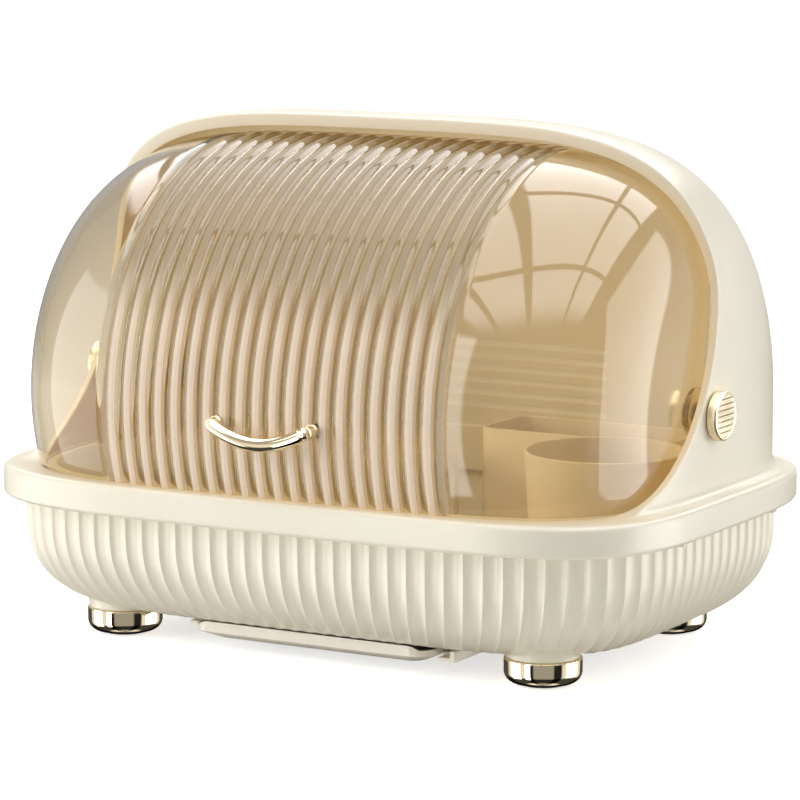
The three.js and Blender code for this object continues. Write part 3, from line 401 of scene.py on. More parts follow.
def screw_metal(name):
    """Plain bright screw metal with fine turning haze."""
    material = painted(name, steel_light, roughness=0.3, Metallic=1.0)
    toned(material, scale=200.0, detail=3.0, light=steel_light, deep=steel_deep)
    grain(material, scale=5200.0, depth=0.00001, roughness_low=0.22, roughness_high=0.42)
    return material


screw_steel = screw_metal("screw_steel")


def dress(node, material):
    """Gives a CAD node that keeps its shape a finish of its own."""
    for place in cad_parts[node].material_slots:
        place.material = material


for word in corner_words:
    dress(f"foot_screw_{word}", screw_steel)

# Rim: the broad band of the upper housing, in the same cream plastic. It is rounded over at its top and
# bottom edges, has a ledge inside that the cover closes on, and a skirt and a tongue that hold the tub.
rim_bottom, rim_top = housing_low[2], 101.5
rim_under_round, rim_top_round = 2.8, 3.8
skirt_wall, tongue_wall, ledge_thickness = 2.6, 2.8, 3.0
tongue_bottom = 73.0
hood_plan = np.array([207.0, 144.0, 154.0, 4.05, 4.05])
opening_plan = np.array([194.3, 129.0, 141.3, 4.05, 4.05])
opening_edge_round = 1.2
housing_cream = cream_plastic("housing_cream", cream_light, cream_deep)
rim_walk = even_walk(720, rim_plan)


def rim_ring(plan, z):
    """Ring of a plan at the rim's own walk values."""
    return at_height(plan_place(rim_walk, plan), z)


rim_rows = [rim_ring(grown(rim_plan, -inset), rim_bottom + rise)
            for inset, rise in quarter(rim_under_round, 9)]
rim_rows += [rim_ring(grown(rim_plan, -inset), rim_top - drop) for drop, inset in quarter(rim_top_round, 9)]
flat_start, flat_end = grown(rim_plan, -rim_top_round), grown(opening_plan, opening_edge_round)
rim_rows += [rim_ring(flat_start * (1 - share) + flat_end * share, rim_top) for share in (0.25, 0.5, 0.75)]
rim_rows += [rim_ring(grown(opening_plan, outset), rim_top - drop)
             for outset, drop in quarter(opening_edge_round, 5)]
rim_rows += [rim_ring(opening_plan, tongue_bottom), rim_ring(grown(opening_plan, tongue_wall), tongue_bottom),
             rim_ring(grown(opening_plan, tongue_wall), rim_top - ledge_thickness),
             rim_ring(grown(rim_plan, -skirt_wall), rim_top - ledge_thickness),
             rim_ring(grown(rim_plan, -skirt_wall), rim_bottom)]
skin("housing_rim", rim_rows, "base", "upper_housing", housing_cream, loop=True)

# Hood: the rear shell of the upper housing, moulded in one with the rim. Its front edge sweeps down from
# the top, round the pivot and out along the rim, and is thickened to a lip.
pivot_height = 146.0
hood_headroom = 162.6
hood_wall, lip_depth, lip_reach = 2.7, 4.6, 9.0
crown_share = 1.8
hood_foot_round = 6.5
hood_foot_sink = 0.6
hood_centre, hood_far = np.array([0.0, 0.0, rim_top]), 420.0
crown_start = 0.97
lip_outer_round, lip_inner_round = 1.9, 1.0
lip_outer_most, lip_face_middle, lip_inner_most, lip_step_most = 0.4, 0.55, 0.3, 0.3
outer_spacing, inner_spacing = np.linspace(0, 1, 110) ** 1.25, np.linspace(0, 1, 60) ** 1.4
lip_straight, arc_reach = 1.5, 200.0
edge_columns = 360
edge_step = 0.25
toe_limit, crown_limit = -110.0, 225.0
edge_corners = [(-99.7, 640.0, 0.0), (7.0, 220.0, 18.0), (-12.0, 135.5, 60.0), (-87.0, rim_top, 21.0),
                (-200.0, rim_top, 0.0)]


def bent(start, corner, end, steps):
    """Quadratic round from start to end over a corner."""
    return [(1 - t) ** 2 * start + 2 * t * (1 - t) * corner + t ** 2 * end for t in np.linspace(0, 1, steps)]


def placed(line, distances):
    """Points of a line at the given distances along it."""
    reach = lengths(line)
    return np.stack([np.interp(distances, reach, column) for column in line.T], -1)


def evened(line, count, closed=False):
    """A count of points spaced evenly along a line. A closed one's last point isn't repeated."""
    return placed(line, np.linspace(0, lengths(line)[-1], count, endpoint=not closed))


def rounded_line(corners):
    """Side view of the hood's edge, from corners (y, height, tangent length): straight runs with a
    quadratic bend at each corner."""
    points = []
    for k, (u, v, bend) in enumerate(corners):
        here = np.array([u, v])
        if bend == 0:
            points.append(here)
            continue
        back, on = (np.array(corners[k + d][:2]) - here for d in (-1, 1))
        start, end = (here + way * bend / np.linalg.norm(way) for way in (back, on))
        points += bent(start, here, end, 160)
    line = np.array(points)
    return placed(line, np.arange(0, lengths(line)[-1], edge_step))


def hood_share(y, z, inset, foot):
    """Distance of (y, z) from the pivot line as a share of the hood's reach there, and how much the wall
    stands out where it rounds into the rim. The wall is thicker by crown_share at the top."""
    turn = np.clip((z - rim_top) / hood_foot_round, 0, 1)
    stand = foot * hood_foot_round * (1 - np.sqrt(1 - (1 - turn) ** 2))
    depth = np.where(y > 0, hood_plan[2], hood_plan[1]) - inset + stand
    rise = np.maximum(z - pivot_height, 0) / (hood_headroom - inset * crown_share)
    return np.sqrt((y / depth) ** 2 + rise ** 2), stand


def hood_side(y, z, inset, foot):
    """Half width of the hood over the side view's point (y, z): superellipse in x and that share."""
    share, stand = hood_share(y, z, inset, foot)
    room = np.maximum(1 - share ** hood_plan[3], 0)
    return (hood_plan[0] - inset + stand) * room ** (1 / hood_plan[3])


def hood_edge(inset, foot):
    """Points on the hood where its surface crosses the edge's side view, evenly from the left toe over the
    top to the right toe. Near the top, where the crossing runs along x, it is solved for the height."""
    line = rounded_line(edge_corners)[::-1]
    side = line[line[:, 0] > toe_limit]
    share, _ = hood_share(side[:, 0], side[:, 1], inset, foot)
    side = side[:np.argmax((share > crown_start) & (side[:, 1] > pivot_height))]
    flank = np.stack([hood_side(side[:, 0], side[:, 1], inset, foot), side[:, 0], side[:, 1]], -1)
    across = np.linspace(flank[-1, 0], 0, 400)[1:]
    wanted = (1 - (across / (hood_plan[0] - inset)) ** hood_plan[3]) ** (1 / hood_plan[3])
    line = line[line[:, 1] > crown_limit]
    level, _ = hood_share(line[:, 0], line[:, 1], inset, foot)
    crown = np.stack([across, np.interp(wanted, level, line[:, 0]), np.interp(wanted, level, line[:, 1])], -1)
    half = np.concatenate([flank, crown])
    half[:, 0] *= -1
    return evened(np.concatenate([half, half[-2::-1] * [-1, 1, 1]]), edge_columns)


def hood_foot(inset, toe_y):
    """Where the hood meets the ledge: its plan at the rim's top, evenly from the left toe round the back
    to the right toe."""
    plan = grown(hood_plan, -inset)
    front = np.linspace(0, 1, 4001)
    start = np.interp(-toe_y, -plan_place(front, plan)[:, 1], front)
    line = plan_place(np.linspace(start, -2 - start, 16001) % 4, plan)
    return at_height(evened(line, edge_columns), rim_top)


def onto_hood(way, inset, foot):
    """Points where rays from the middle of the rim's opening leave the hood, found by halving."""

    def inside(distance):
        """Whether each ray is still within the hood at a distance."""
        x, y, z = (hood_centre + way * distance[:, None]).T
        share, stand = hood_share(y, z, inset, foot)
        return (np.abs(x) / (hood_plan[0] - inset + stand)) ** hood_plan[3] + share ** hood_plan[3] < 1

    return hood_centre + way * halved(inside, np.zeros(len(way)), np.full(len(way), hood_far))[:, None]


def hood_skin(edge, foot_line, shares, inset_near, inset_far, foot):
    """Rows of the hood's surface from its edge to its foot: great arcs between the two lines, thrown out
    onto the surface, with the wall's inset easing from the lip to the wall behind it."""
    first, last = edge - hood_centre, foot_line - hood_centre
    first /= np.linalg.norm(first, axis=1, keepdims=True)
    last /= np.linalg.norm(last, axis=1, keepdims=True)
    angle = np.arccos(np.clip(np.sum(first * last, 1), -1, 1))[:, None]
    rows = []
    for share in shares:
        blend = np.where(angle > 1e-4, (np.sin((1 - share) * angle) * first + np.sin(share * angle) * last)
                         / np.maximum(np.sin(angle), 1e-9), first * (1 - share) + last * share)
        blend /= np.linalg.norm(blend, axis=1, keepdims=True)
        length = share * angle[:, 0] * arc_reach
        inset = inset_near + (inset_far - inset_near) * eased(length, lip_straight, lip_reach)
        rows.append(onto_hood(blend, inset, foot))
    return rows


outer_edge, inner_edge_line = hood_edge(inset=0.0, foot=1.0), hood_edge(inset=lip_depth, foot=0.0)
outer_foot = hood_foot(-hood_foot_round, outer_edge[0, 1])
inner_foot = hood_foot(hood_wall, inner_edge_line[0, 1])
outer_rows = hood_skin(outer_edge, outer_foot, outer_spacing, inset_near=0.0, inset_far=0.0, foot=1.0)
inner_rows = hood_skin(inner_edge_line, inner_foot, inner_spacing, inset_near=lip_depth, inset_far=hood_wall,
                       foot=0.0)


def step_back(rows, distance):
    """The rows with their points drawn along each column, so that the first row lies at a distance from
    where it was and the last stays."""
    stack = np.array(rows)
    for column in range(stack.shape[1]):
        line = stack[:, column].copy()
        reach = lengths(line)
        start = min(distance, reach[-1] * lip_step_most)
        stack[:, column] = placed(line, start + (1 - start / max(reach[-1], 1e-9)) * reach)
    return list(stack)


face_way = inner_edge_line - outer_edge
face_length = np.linalg.norm(face_way, axis=1, keepdims=True)
face_way /= face_length
outer_kept, inner_kept = step_back(outer_rows, lip_outer_round), step_back(inner_rows, lip_inner_round)
face_start = outer_edge + face_way * np.minimum(lip_outer_round, face_length * lip_outer_most)
face_end = inner_edge_line - face_way * np.minimum(lip_inner_round, face_length * lip_inner_most)
lip_rows = [*bent(outer_kept[0], outer_edge, face_start, 7),
            outer_edge + face_way * face_length * lip_face_middle,
            *bent(face_end, inner_edge_line, inner_kept[0], 5)]
sunk = np.array([0, 0, -hood_foot_sink])
hood_rows = np.array([outer_foot + sunk, *outer_kept[::-1], *lip_rows[1:-1], *inner_kept, inner_foot + sunk])
toes = hood_rows[:, [0, -1]].mean(0) * [1, 1, 0] + [0, 0, rim_top - hood_foot_sink]
hood_rows = np.concatenate([np.broadcast_to(toes[0], (len(hood_rows), 1, 3)), hood_rows,
                            np.broadcast_to(toes[1], (len(hood_rows), 1, 3))], axis=1)
hood = skin("housing_hood", hood_rows, "base", "upper_housing", housing_cream, ring=False,
            loop=True, sharp=50)

# Louvres: a block of narrow slots with round ends, cut through the hood's back wall low down to let the
# steam out. Each rises as it goes out, so that nothing is seen through it from the front.
vent_count, vent_pitch, vent_height, vent_half_length, vent_lowest = 6, 8.0, 3.6, 60.0, 112.0
vent_back = (130.0, 170.0)
vent_slant = 1.3
vent_turns = np.linspace(-np.pi / 2, np.pi / 2, 9)
vent_end = np.stack([vent_half_length - vent_height / 2 + np.cos(vent_turns) * vent_height / 2,
                     np.sin(vent_turns) * vent_height / 2], -1)
vent_outline = np.concatenate([vent_end, -vent_end])
cutter = bmesh.new()
for k in range(vent_count):
    z = vent_lowest + vent_pitch * k + vent_height / 2
    ends = []
    for y in vent_back:
        middle = z + (y - hood_plan[2] + hood_wall) * vent_slant
        ends.append([cutter.verts.new(np.array([u, y, middle + v]) * MILLIMETRE) for u, v in vent_outline])
    cutter.faces.new(ends[0])
    cutter.faces.new(ends[1][::-1])
    for i in range(len(vent_outline)):
        j = (i + 1) % len(vent_outline)
        cutter.faces.new([ends[0][j], ends[0][i], ends[1][i], ends[1][j]])
cutter_mesh = bpy.data.meshes.new("vent_cutter")
bmesh.ops.recalc_face_normals(cutter, faces=cutter.faces)
cutter.to_mesh(cutter_mesh)
cutter.free()
cutter_piece = put("vent_cutter", cutter_mesh)
cut = hood.modifiers.new("vents", "BOOLEAN")
cut.object, cut.operation, cut.solver = cutter_piece, "DIFFERENCE", "EXACT"
bpy.context.view_layer.update()
vented = bpy.data.meshes.new_from_object(hood.evaluated_get(bpy.context.evaluated_depsgraph_get()))
hood.modifiers.remove(cut)
hood.data = vented
bpy.data.objects.remove(cutter_piece)
screw_lacquer = cream_plastic("screw_lacquer", (0.80, 0.76, 0.65), (0.76, 0.72, 0.61))
for word in corner_words:
    dress(f"housing_screw_{word}", screw_lacquer)

# Pivots: on each side a steel pin turns in a plain bush in the hood, with a spacer inside and a round
# gold knob outside. The knob's face is milled with level ridges inside a polished rim.
knob_radius, knob_back, knob_front = 14.2, 207.8, 213.8
knob_round = 1.6
knob_face_radius = 12.6
knob_ridges, knob_ridge_depth, knob_ridge_end = 8, 0.4, 0.8
knob_bevel = 0.6
knob_gold = gold_plate("knob_gold", roughness=0.25)
bush_plastic = cream_plastic("bush_plastic", (0.80, 0.75, 0.64), (0.76, 0.71, 0.60))


def pivot_ring(x, radius):
    """Upright ring of a radius about the pivot line, at x."""
    y, rise = (circle * radius).T
    return np.stack([np.full(len(circle), x), y, rise + pivot_height], -1)


knob_profile = [(0, knob_back), (knob_radius - knob_bevel, knob_back), (knob_radius, knob_back + knob_bevel)]
knob_profile += [(knob_radius - inset, knob_front - drop) for drop, inset in quarter(knob_round, 8)[:-1]]
knob_rows = [pivot_ring(x, radius) for radius, x in knob_profile]
for radius in np.linspace(knob_face_radius, 0, 64):
    across = circle[:, 1] * radius / (2 * knob_face_radius) * knob_ridges
    groove = knob_ridge_depth * (0.5 + 0.5 * np.cos(2 * np.pi * across))
    groove *= eased(knob_face_radius - radius, 0, knob_ridge_end)
    knob_rows.append(pivot_ring(knob_front - groove, radius))
for side, word in ((-1, "left"), (1, "right")):
    skin(f"hinge_knob_skin_{word}", np.array(knob_rows) * [side, 1, 1], "cover", f"hinge_knob_{word}",
         knob_gold, sharp=32)
    dress(f"hinge_pin_{word}", screw_steel)
    for node in ("hinge_spacer", "hinge_bush"):
        dress(f"{node}_{word}", bush_plastic)

# Cover: one shell of clear amber plastic, swung about the pivot line, with a smooth end on each side and
# a field of rounded ribs between them. Round ears inside its ends take the pins.
cover_half, cover_radius, cover_power = 198.4, 149.2, 4.5
cover_wall = 2.2
rib_pitch, rib_count, rib_depth = 10.9, 20, 1.6
rib_points = 16
rib_roundness = 2.6
rib_edge, edge_share = 7.0, 0.45
cover_rear, cover_gap = np.radians(100), 0.3
cover_cut = rim_top + cover_gap - pivot_height
ear_radius, ear_thickness, ear_bevel = 15.0, 5.0, 0.8
ear_bore, ear_gap = 4.1, 0.4
dip_start, dip_end = 20, 40
# The deeper amber in the rib grooves is painted shade.
amber_tint, groove_painted_shade, tint_drift = (0.94, 0.86, 0.71), (0.74, 0.65, 0.46), 0.97
# The pale matt colour on the rib crests is a painted highlight, darkened higher up as painted shade. The lean
# moves it towards one flank of each rib.
crest_painted_light_low, crest_painted_shade_high = (0.81, 0.68, 0.55), (0.42, 0.335, 0.225)
crest_painted_light_height, crest_painted_shade_height = 190.0, 236.0
crest_start, crest_end, crest_painted_highlight, painted_highlight_lean = 0.4, -0.45, 0.74, 0.5
field_fade = 1.5
# A narrow brown band along each border of the ribbed field is a painted shade line.
shade_line_start, shade_line_width, shade_line_fade, shade_line_share, painted_shade_line_colour = 107.5, 6.5, 1.0, 0.8, (0.44, 0.35, 0.22)


def figure(material, operation, *values):
    """Result of a maths node. Values are numbers or other nodes' sockets."""
    node = wire(material, "ShaderNodeMath", operation=operation)
    for socket, value in zip(node.inputs, values):
        feed(material, socket, value)
    return node.outputs[0]


def ramped(material, value, start, end, low=0.0, high=1.0):
    """Smooth step of a value from low at start to high at end."""
    return wire(material, "ShaderNodeMapRange", interpolation_type="SMOOTHSTEP", Value=value, From_Min=start,
                From_Max=end, To_Min=low, To_Max=high).outputs["Result"]


def layered(material, share, first, second):
    """Mix of two shaders by a share."""
    mix = wire(material, "ShaderNodeMixShader")
    for socket, value in zip(mix.inputs, (share, first.outputs[0], second.outputs[0])):
        feed(material, socket, value)
    return mix


def clear_amber(name, tint):
    """Clear tinted plastic, polished, with the faintest unevenness of a moulded sheet. The rib crests carry a
    painted highlight, a pale matt sheen that darkens to painted shade higher up. The grooves get a painted
    deeper amber shade, and a brown painted shade line borders the ribbed field.
    Light that falls through it onto the inside goes straight on."""
    material = painted(name, tint, roughness=0.03, IOR=1.45, Transmission_Weight=1.0)
    place = wire(material, "ShaderNodeTexCoord").outputs["Object"]
    place = wire(material, "ShaderNodeSeparateXYZ", Vector=place)
    walk = figure(material, "MULTIPLY", place.outputs["X"], 2 * np.pi / (rib_pitch * MILLIMETRE))
    hump = figure(material, "COSINE", figure(material, "ADD", walk, painted_highlight_lean))
    out = figure(material, "DIVIDE", figure(material, "ABSOLUTE", place.outputs["X"]), MILLIMETRE)
    rise = figure(material, "DIVIDE", place.outputs["Z"], MILLIMETRE)
    field = ramped(material, out, ribbed_half, ribbed_half - field_fade)
    crest = figure(material, "MULTIPLY", ramped(material, hump, crest_start, crest_end), field)
    groove = figure(material, "SUBTRACT", field, crest)
    # Where the painted shade line lies: a narrow band at each border of the ribbed field.
    painted_shade_line = figure(material, "MULTIPLY", ramped(material, out, shade_line_start, shade_line_start + shade_line_fade),
                  ramped(material, out, shade_line_start + shade_line_width, shade_line_start + shade_line_fade))
    # Share of the pale matt layer: painted highlight on the crests, and the painted shade line at the field's
    # border.
    haze = figure(material, "MAXIMUM", figure(material, "MULTIPLY", crest, crest_painted_highlight),
                  figure(material, "MULTIPLY", painted_shade_line, shade_line_share))
    drifted = tuple(part * tint_drift for part in tint)
    sheet = mixed(material, cloudy(material, scale=6.0, detail=2.0, low=0.0, high=1.0), tint, drifted)
    waves = noise(material, scale=28.0, detail=1.0)
    bump = wire(material, "ShaderNodeBump", Height=waves, Strength=0.15, Distance=0.0004)
    # Glass colour: the plain tint, deepened in the grooves to a painted amber shade.
    shade(material, Base_Color=mixed(material, groove, sheet, groove_painted_shade), Normal=bump.outputs["Normal"],
          Roughness=cloudy(material, scale=11.0, detail=4.0, low=0.015, high=0.04))
    # Pale matt layer: painted highlight on the crests, darker higher up as painted shade, and brown painted
    # shade on the border line.
    crest_painted_colour = mixed(material, ramped(material, rise, crest_painted_light_height, crest_painted_shade_height), crest_painted_light_low, crest_painted_shade_high)
    painted_light_sheet = wire(material, "ShaderNodeBsdfDiffuse", Color=mixed(material, painted_shade_line, crest_painted_colour, painted_shade_line_colour),
                 Normal=bump.outputs["Normal"])
    seen = layered(material, haze, material.node_tree.nodes["Principled BSDF"], painted_light_sheet)
    rays = wire(material, "ShaderNodeLightPath")
    soft = figure(material, "MAXIMUM", rays.outputs["Is Shadow Ray"], rays.outputs["Is Diffuse Ray"])
    whole = layered(material, soft, seen, wire(material, "ShaderNodeBsdfTransparent", Color=tint))
    feed(material, material.node_tree.nodes["Material Output"].inputs["Surface"], whole.outputs[0])
    return material


ribbed_half = rib_pitch * rib_count / 2
cover_amber = clear_amber("cover_amber", amber_tint)


def cover_reach(x, half, radius):
    """Radius of the cover about the pivot line at x: superellipse of half width and radius."""
    return radius * np.maximum(1 - np.abs(x / half) ** cover_power, 0) ** (1 / cover_power)


field = np.linspace(-ribbed_half, ribbed_half, rib_count * rib_points + 1)
end_turn = np.linspace(np.arcsin((ribbed_half / cover_half) ** (cover_power / 2)), np.pi / 2, 60)[1:]
end = np.sort(np.concatenate([cover_half * np.sin(end_turn) ** (2 / cover_power),
                              ribbed_half + rib_edge * np.linspace(0.12, 1, 8)]))
cover_x = np.concatenate([-end[::-1], field, end])
across_rib = (cover_x + ribbed_half) / rib_pitch
beyond = np.clip((np.abs(cover_x) - ribbed_half) / rib_edge, 0, 1)
dip = rib_depth * np.abs(np.cos(np.pi * across_rib)) ** rib_roundness * (beyond == 0)
dip *= 1 - (1 - edge_share) * eased(np.abs(cover_x), ribbed_half - rib_pitch, ribbed_half)
dip += edge_share * rib_depth * (0.5 + 0.5 * np.cos(np.pi * beyond)) * (beyond > 0)
outer_reach = cover_reach(cover_x, cover_half, cover_radius)
outer_reach[[0, -1]] = 0
inner_x = cover_x * (cover_half - cover_wall) / cover_half
inner_reach = cover_reach(inner_x, cover_half - cover_wall, cover_radius - rib_depth - cover_wall)
inner_reach[[0, -1]] = 0


def swung(x, reach, share):
    """Row of the cover at a share of its swing, from its flat bottom edge over the top to the rear."""
    start = -np.arcsin(np.clip(-cover_cut / np.maximum(reach, 1e-6), 0, 1))
    angle = start + (cover_rear - start) * share
    return np.stack([x, -reach * np.cos(angle), pivot_height + reach * np.sin(angle)], -1)


rib_reach = outer_reach - dip * eased(outer_reach, dip_start, dip_end)
cover_rows = [swung(cover_x, rib_reach, share) for share in np.linspace(0, 1, 110)]
cover_rows += [swung(inner_x, inner_reach, share) for share in np.linspace(1, 0, 60)]
skin("clear_cover_skin", cover_rows, "cover", "clear_cover", cover_amber, ring=False,
     loop=True)
ear_profile = [(ear_bore, ear_gap), (ear_bore, ear_thickness), (ear_radius - ear_bevel, ear_thickness),
               (ear_radius, ear_thickness - ear_bevel), (ear_radius, ear_gap)]
for side, word in ((-1, "left"), (1, "right")):
    rows = [pivot_ring(side * (cover_half - cover_wall - depth), radius) for radius, depth in ear_profile]
    skin(f"cover_ear_{word}", rows, "cover", [], cover_amber, loop=True)

# Pull handle: a drooping bar, fuller in its middle and stepped at its ends, cast in one with two short
# posts and plated like the feet. A screw and a washer hold each post from inside the cover.
handle_half, handle_end_z, handle_sag = 31.5, 143.9, 9.1
handle_stand, handle_bulge = 6.8, 1.4
bar_middle, bar_end, bar_tall = 3.5, 3.4, 1.16
bar_overhang, bar_end_rise, bar_end_round = 1.4, 0.7, 2.2
knuckle_place, knuckle_width, knuckle_depth = 4.6, 0.5, 0.25
post_radius, post_foot_radius = 3.2, 4.0
post_flare_start, post_flare_length, post_overlap = 3.2, 2.2, 0.2
handle_gold = gold_plate("handle_gold", roughness=0.05)
post_gold = gold_plate("post_gold", roughness=0.2)
handle_y = -cover_radius - handle_stand
along = np.concatenate([np.linspace(-1, -0.9, 14), np.linspace(-0.88, 0.88, 60), np.linspace(0.9, 1, 14)])
bar_line = np.stack([along * handle_half, handle_y - handle_bulge * (1 - along ** 2),
                     handle_end_z - handle_sag * (1 - along ** 2)], -1)
bar_line = np.concatenate([bar_line[:1] + [-bar_overhang, 0, bar_end_rise], bar_line,
                           bar_line[-1:] + [bar_overhang, 0, bar_end_rise]])
even = np.linspace(0, lengths(bar_line)[-1], 150)
bar_line = placed(bar_line, even)
from_end = np.minimum(even, even[-1] - even)
bar_radius = bar_end + (bar_middle - bar_end) * eased(from_end, 0, even[-1] / 2)
bar_radius *= np.sqrt(np.clip(1 - (1 - np.minimum(from_end / bar_end_round, 1)) ** 2, 0, 1))
bar_radius -= knuckle_depth * np.exp(-((even[-1] - even - knuckle_place) / knuckle_width) ** 2)


def swept(line, radius, tall):
    """Tube along a line in space: rings of each radius, square to the line's direction, tall times as high
    as they are deep."""
    way = np.gradient(line, axis=0)
    way /= np.linalg.norm(way, axis=1, keepdims=True)
    side = np.cross(way, [0.0, 1.0, 0.0])
    side /= np.linalg.norm(side, axis=1, keepdims=True)
    up = np.cross(side, way)
    turn = np.linspace(0, 2 * np.pi, 32, endpoint=False)[None, :, None]
    ring = side[:, None] * np.cos(turn) * tall + up[:, None] * np.sin(turn)
    return line[:, None] + ring * radius[:, None, None]


skin("pull_handle_bar", swept(bar_line, bar_radius, bar_tall), "cover", "pull_handle",
     handle_gold)
post_back = -cover_radius - post_overlap
flare_start = post_back - post_flare_start
post_profile = [(0, handle_y), (post_radius, handle_y), (post_radius, flare_start)]
for turn in np.linspace(0, np.pi / 2, 7)[1:]:
    flare = (post_foot_radius - post_radius) * (1 - np.cos(turn))
    post_profile.append((post_radius + flare, flare_start + post_flare_length * np.sin(turn)))
post_profile += [(post_foot_radius, post_back), (0, post_back)]
for side, word in ((-1, "left"), (1, "right")):
    rows = [np.stack([side * handle_half + radius * circle[:, 0], np.full(len(circle), y),
                      handle_end_z + radius * circle[:, 1]], -1) for radius, y in post_profile]
    skin(f"pull_handle_post_{word}", rows, "cover", "pull_handle", post_gold)
    dress(f"handle_screw_{word}", screw_steel)
    dress(f"handle_washer_{word}", pad_rubber)

# Drip tray: a shallow cream tray that slides out forwards on two runners under the tub. Its bottom is
# bevelled all round, and its front edge stands up as a lip to pull it by.
tray_half, tray_front, tray_back = 80.0, -106.0, 34.0
tray_corner, tray_least_corner = 14.0, 3.0
tray_bottom, tray_shoulder, tray_top = 6.5, 11.6, 15.4
tray_bevel, tray_flat, tray_wall = 12.0, 8.0, 2.0
tray_heel_in, tray_heel_out, tray_heel_rise = 0.6, 0.4, 0.3
tray_step_in, tray_step_out, tray_step_low, tray_step_high = 2.1, 1.7, 0.8, 0.3
tray_ledge_in, tray_ledge_rise = 0.4, 0.5
tray_lip_raise, tray_lip_depth, tray_lip_round, tray_lip_middle, tray_lip_ease = 3.0, 3.0, 0.8, 0.25, 0.4
tray_draft, tray_draft_rise = 0.4, 1.4
tray_cove, tray_cove_rise, tray_cove_reach = 1.0, 0.6, 3.0
flange_reach, flange_thickness, flange_overlap, flange_front = 9.5, 1.6, 1.0, 3.0
flange_ease = 0.4
# The tray's cream is a paler copy of the body's cream: painted light against the shade under the tub.
tray_cream_painted_light = cream_plastic("tray_cream_painted_light", (0.96, 0.91, 0.79), (0.94, 0.88, 0.75))


def round_box(left, right, front, back, corner, count):
    """Ring of a box with round corners: a point walks the straight sides and the corners' quarter circles
    at an even pace, starting at the middle of the front."""
    pieces = []
    for x, y, start in ((right - corner, front + corner, -90), (right - corner, back - corner, 0),
                        (left + corner, back - corner, 90), (left + corner, front + corner, 180)):
        turn = np.radians(np.linspace(start, start + 90, 40))
        pieces.append(np.stack([x + corner * np.cos(turn), y + corner * np.sin(turn)], -1))
    middle = [[(left + right) / 2, front]]
    return evened(np.concatenate([middle, *pieces, middle]), count, closed=True)


def tray_ring(inset, z, lift=0.0):
    """Ring of the tray at an inset and a height. lift raises it where it runs along the front."""
    ring = round_box(-tray_half + inset, tray_half - inset, tray_front + inset, tray_back - inset,
                     max(tray_corner - inset / 2, tray_least_corner), 240)
    return at_height(ring, z + lift * eased(-ring[:, 1], -tray_front - tray_lip_depth, -tray_front))


tray_profile = [(tray_bevel + tray_flat, tray_bottom), (tray_bevel + tray_heel_in, tray_bottom),
                (tray_bevel - tray_heel_out, tray_bottom + tray_heel_rise),
                (tray_step_in, tray_shoulder - tray_step_low),
                (tray_step_out, tray_shoulder - tray_step_high),
                (tray_ledge_in, tray_shoulder), (0, tray_shoulder + tray_ledge_rise)]
tray_lip_profile = [(0, tray_top - tray_lip_round), (tray_lip_middle, tray_top - tray_lip_middle),
                    (tray_lip_round, tray_top), (tray_wall - tray_lip_ease, tray_top),
                    (tray_wall, tray_top - tray_lip_ease)]
tray_inside_profile = [(tray_wall + tray_draft, tray_shoulder + tray_draft_rise),
                       (tray_bevel + tray_cove, tray_bottom + tray_wall + tray_cove_rise),
                       (tray_bevel + tray_cove_reach, tray_bottom + tray_wall)]
tray_rows = [tray_ring(inset, z) for inset, z in tray_profile]
tray_rows += [tray_ring(inset, z, tray_lip_raise) for inset, z in tray_lip_profile]
tray_rows += [tray_ring(inset, z) for inset, z in tray_inside_profile]
tray_heart = np.array([0, (tray_front + tray_back) / 2, 0])
tray_rows = [tray_rows[0] * [0, 0, 1] + tray_heart, *tray_rows, tray_rows[-1] * [0, 0, 1] + tray_heart]
skin("drip_tray_skin", tray_rows, "tray", "drip_tray", tray_cream_painted_light)


def slab(left, right, front, back, low, high):
    """Rows of a flat bar along y with eased edges and a pole in the middle of each end."""
    section = round_box(left, right, low, high, flange_ease, 48)
    heart = np.array([(left + right) / 2, (low + high) / 2])
    rows = []
    for y, share in ((front, 0.0), (front, 1 - flange_ease / 4), (front + flange_ease, 1.0),
                     (back - flange_ease, 1.0), (back, 1 - flange_ease / 4), (back, 0.0)):
        row = heart + (section - heart) * share
        rows.append(np.stack([row[:, 0], np.full(len(row), y), row[:, 1]], -1))
    return rows


for side, word in ((-1, "left"), (1, "right")):
    near, far = sorted((side * (tray_half - flange_overlap), side * (tray_half + flange_reach)))
    rows = slab(near, far, tray_front + tray_corner + flange_front, tray_back - tray_corner,
                tray_shoulder, tray_shoulder + flange_thickness)
    skin(f"drip_tray_flange_{word}", rows, "tray", "drip_tray", tray_cream_painted_light)


flat_angle, keen_angle = np.radians([1, 35])
cad_weld_distance = 1e-6


def softened(node, name, body, material, width):
    """Copy of a CAD solid with its doubles merged, flat faces joined and edges eased by a small bevel."""
    work = bmesh.new()
    work.from_mesh(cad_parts[node].data)
    work.transform(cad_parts[node].matrix_world)
    bmesh.ops.remove_doubles(work, verts=work.verts, dist=cad_weld_distance)
    bmesh.ops.dissolve_limit(work, angle_limit=flat_angle, verts=work.verts, edges=work.edges)
    keen = [edge for edge in work.edges if len(edge.link_faces) == 2 and edge.calc_face_angle() > keen_angle]
    bmesh.ops.bevel(work, geom=keen, offset=width * MILLIMETRE, offset_type="OFFSET", segments=2, profile=0.5,
                    affect="EDGES", clamp_overlap=True)
    bmesh.ops.triangulate(work, faces=[face for face in work.faces if len(face.verts) > 4])
    mesh = bpy.data.meshes.new(name)
    work.to_mesh(mesh)
    work.free()
    return finished(name, mesh, body, node, material, 40)


for word in ("left", "right"):
    softened(f"tray_runner_{word}", f"tray_runner_skin_{word}", "base", tray_cream_painted_light, width=0.5)

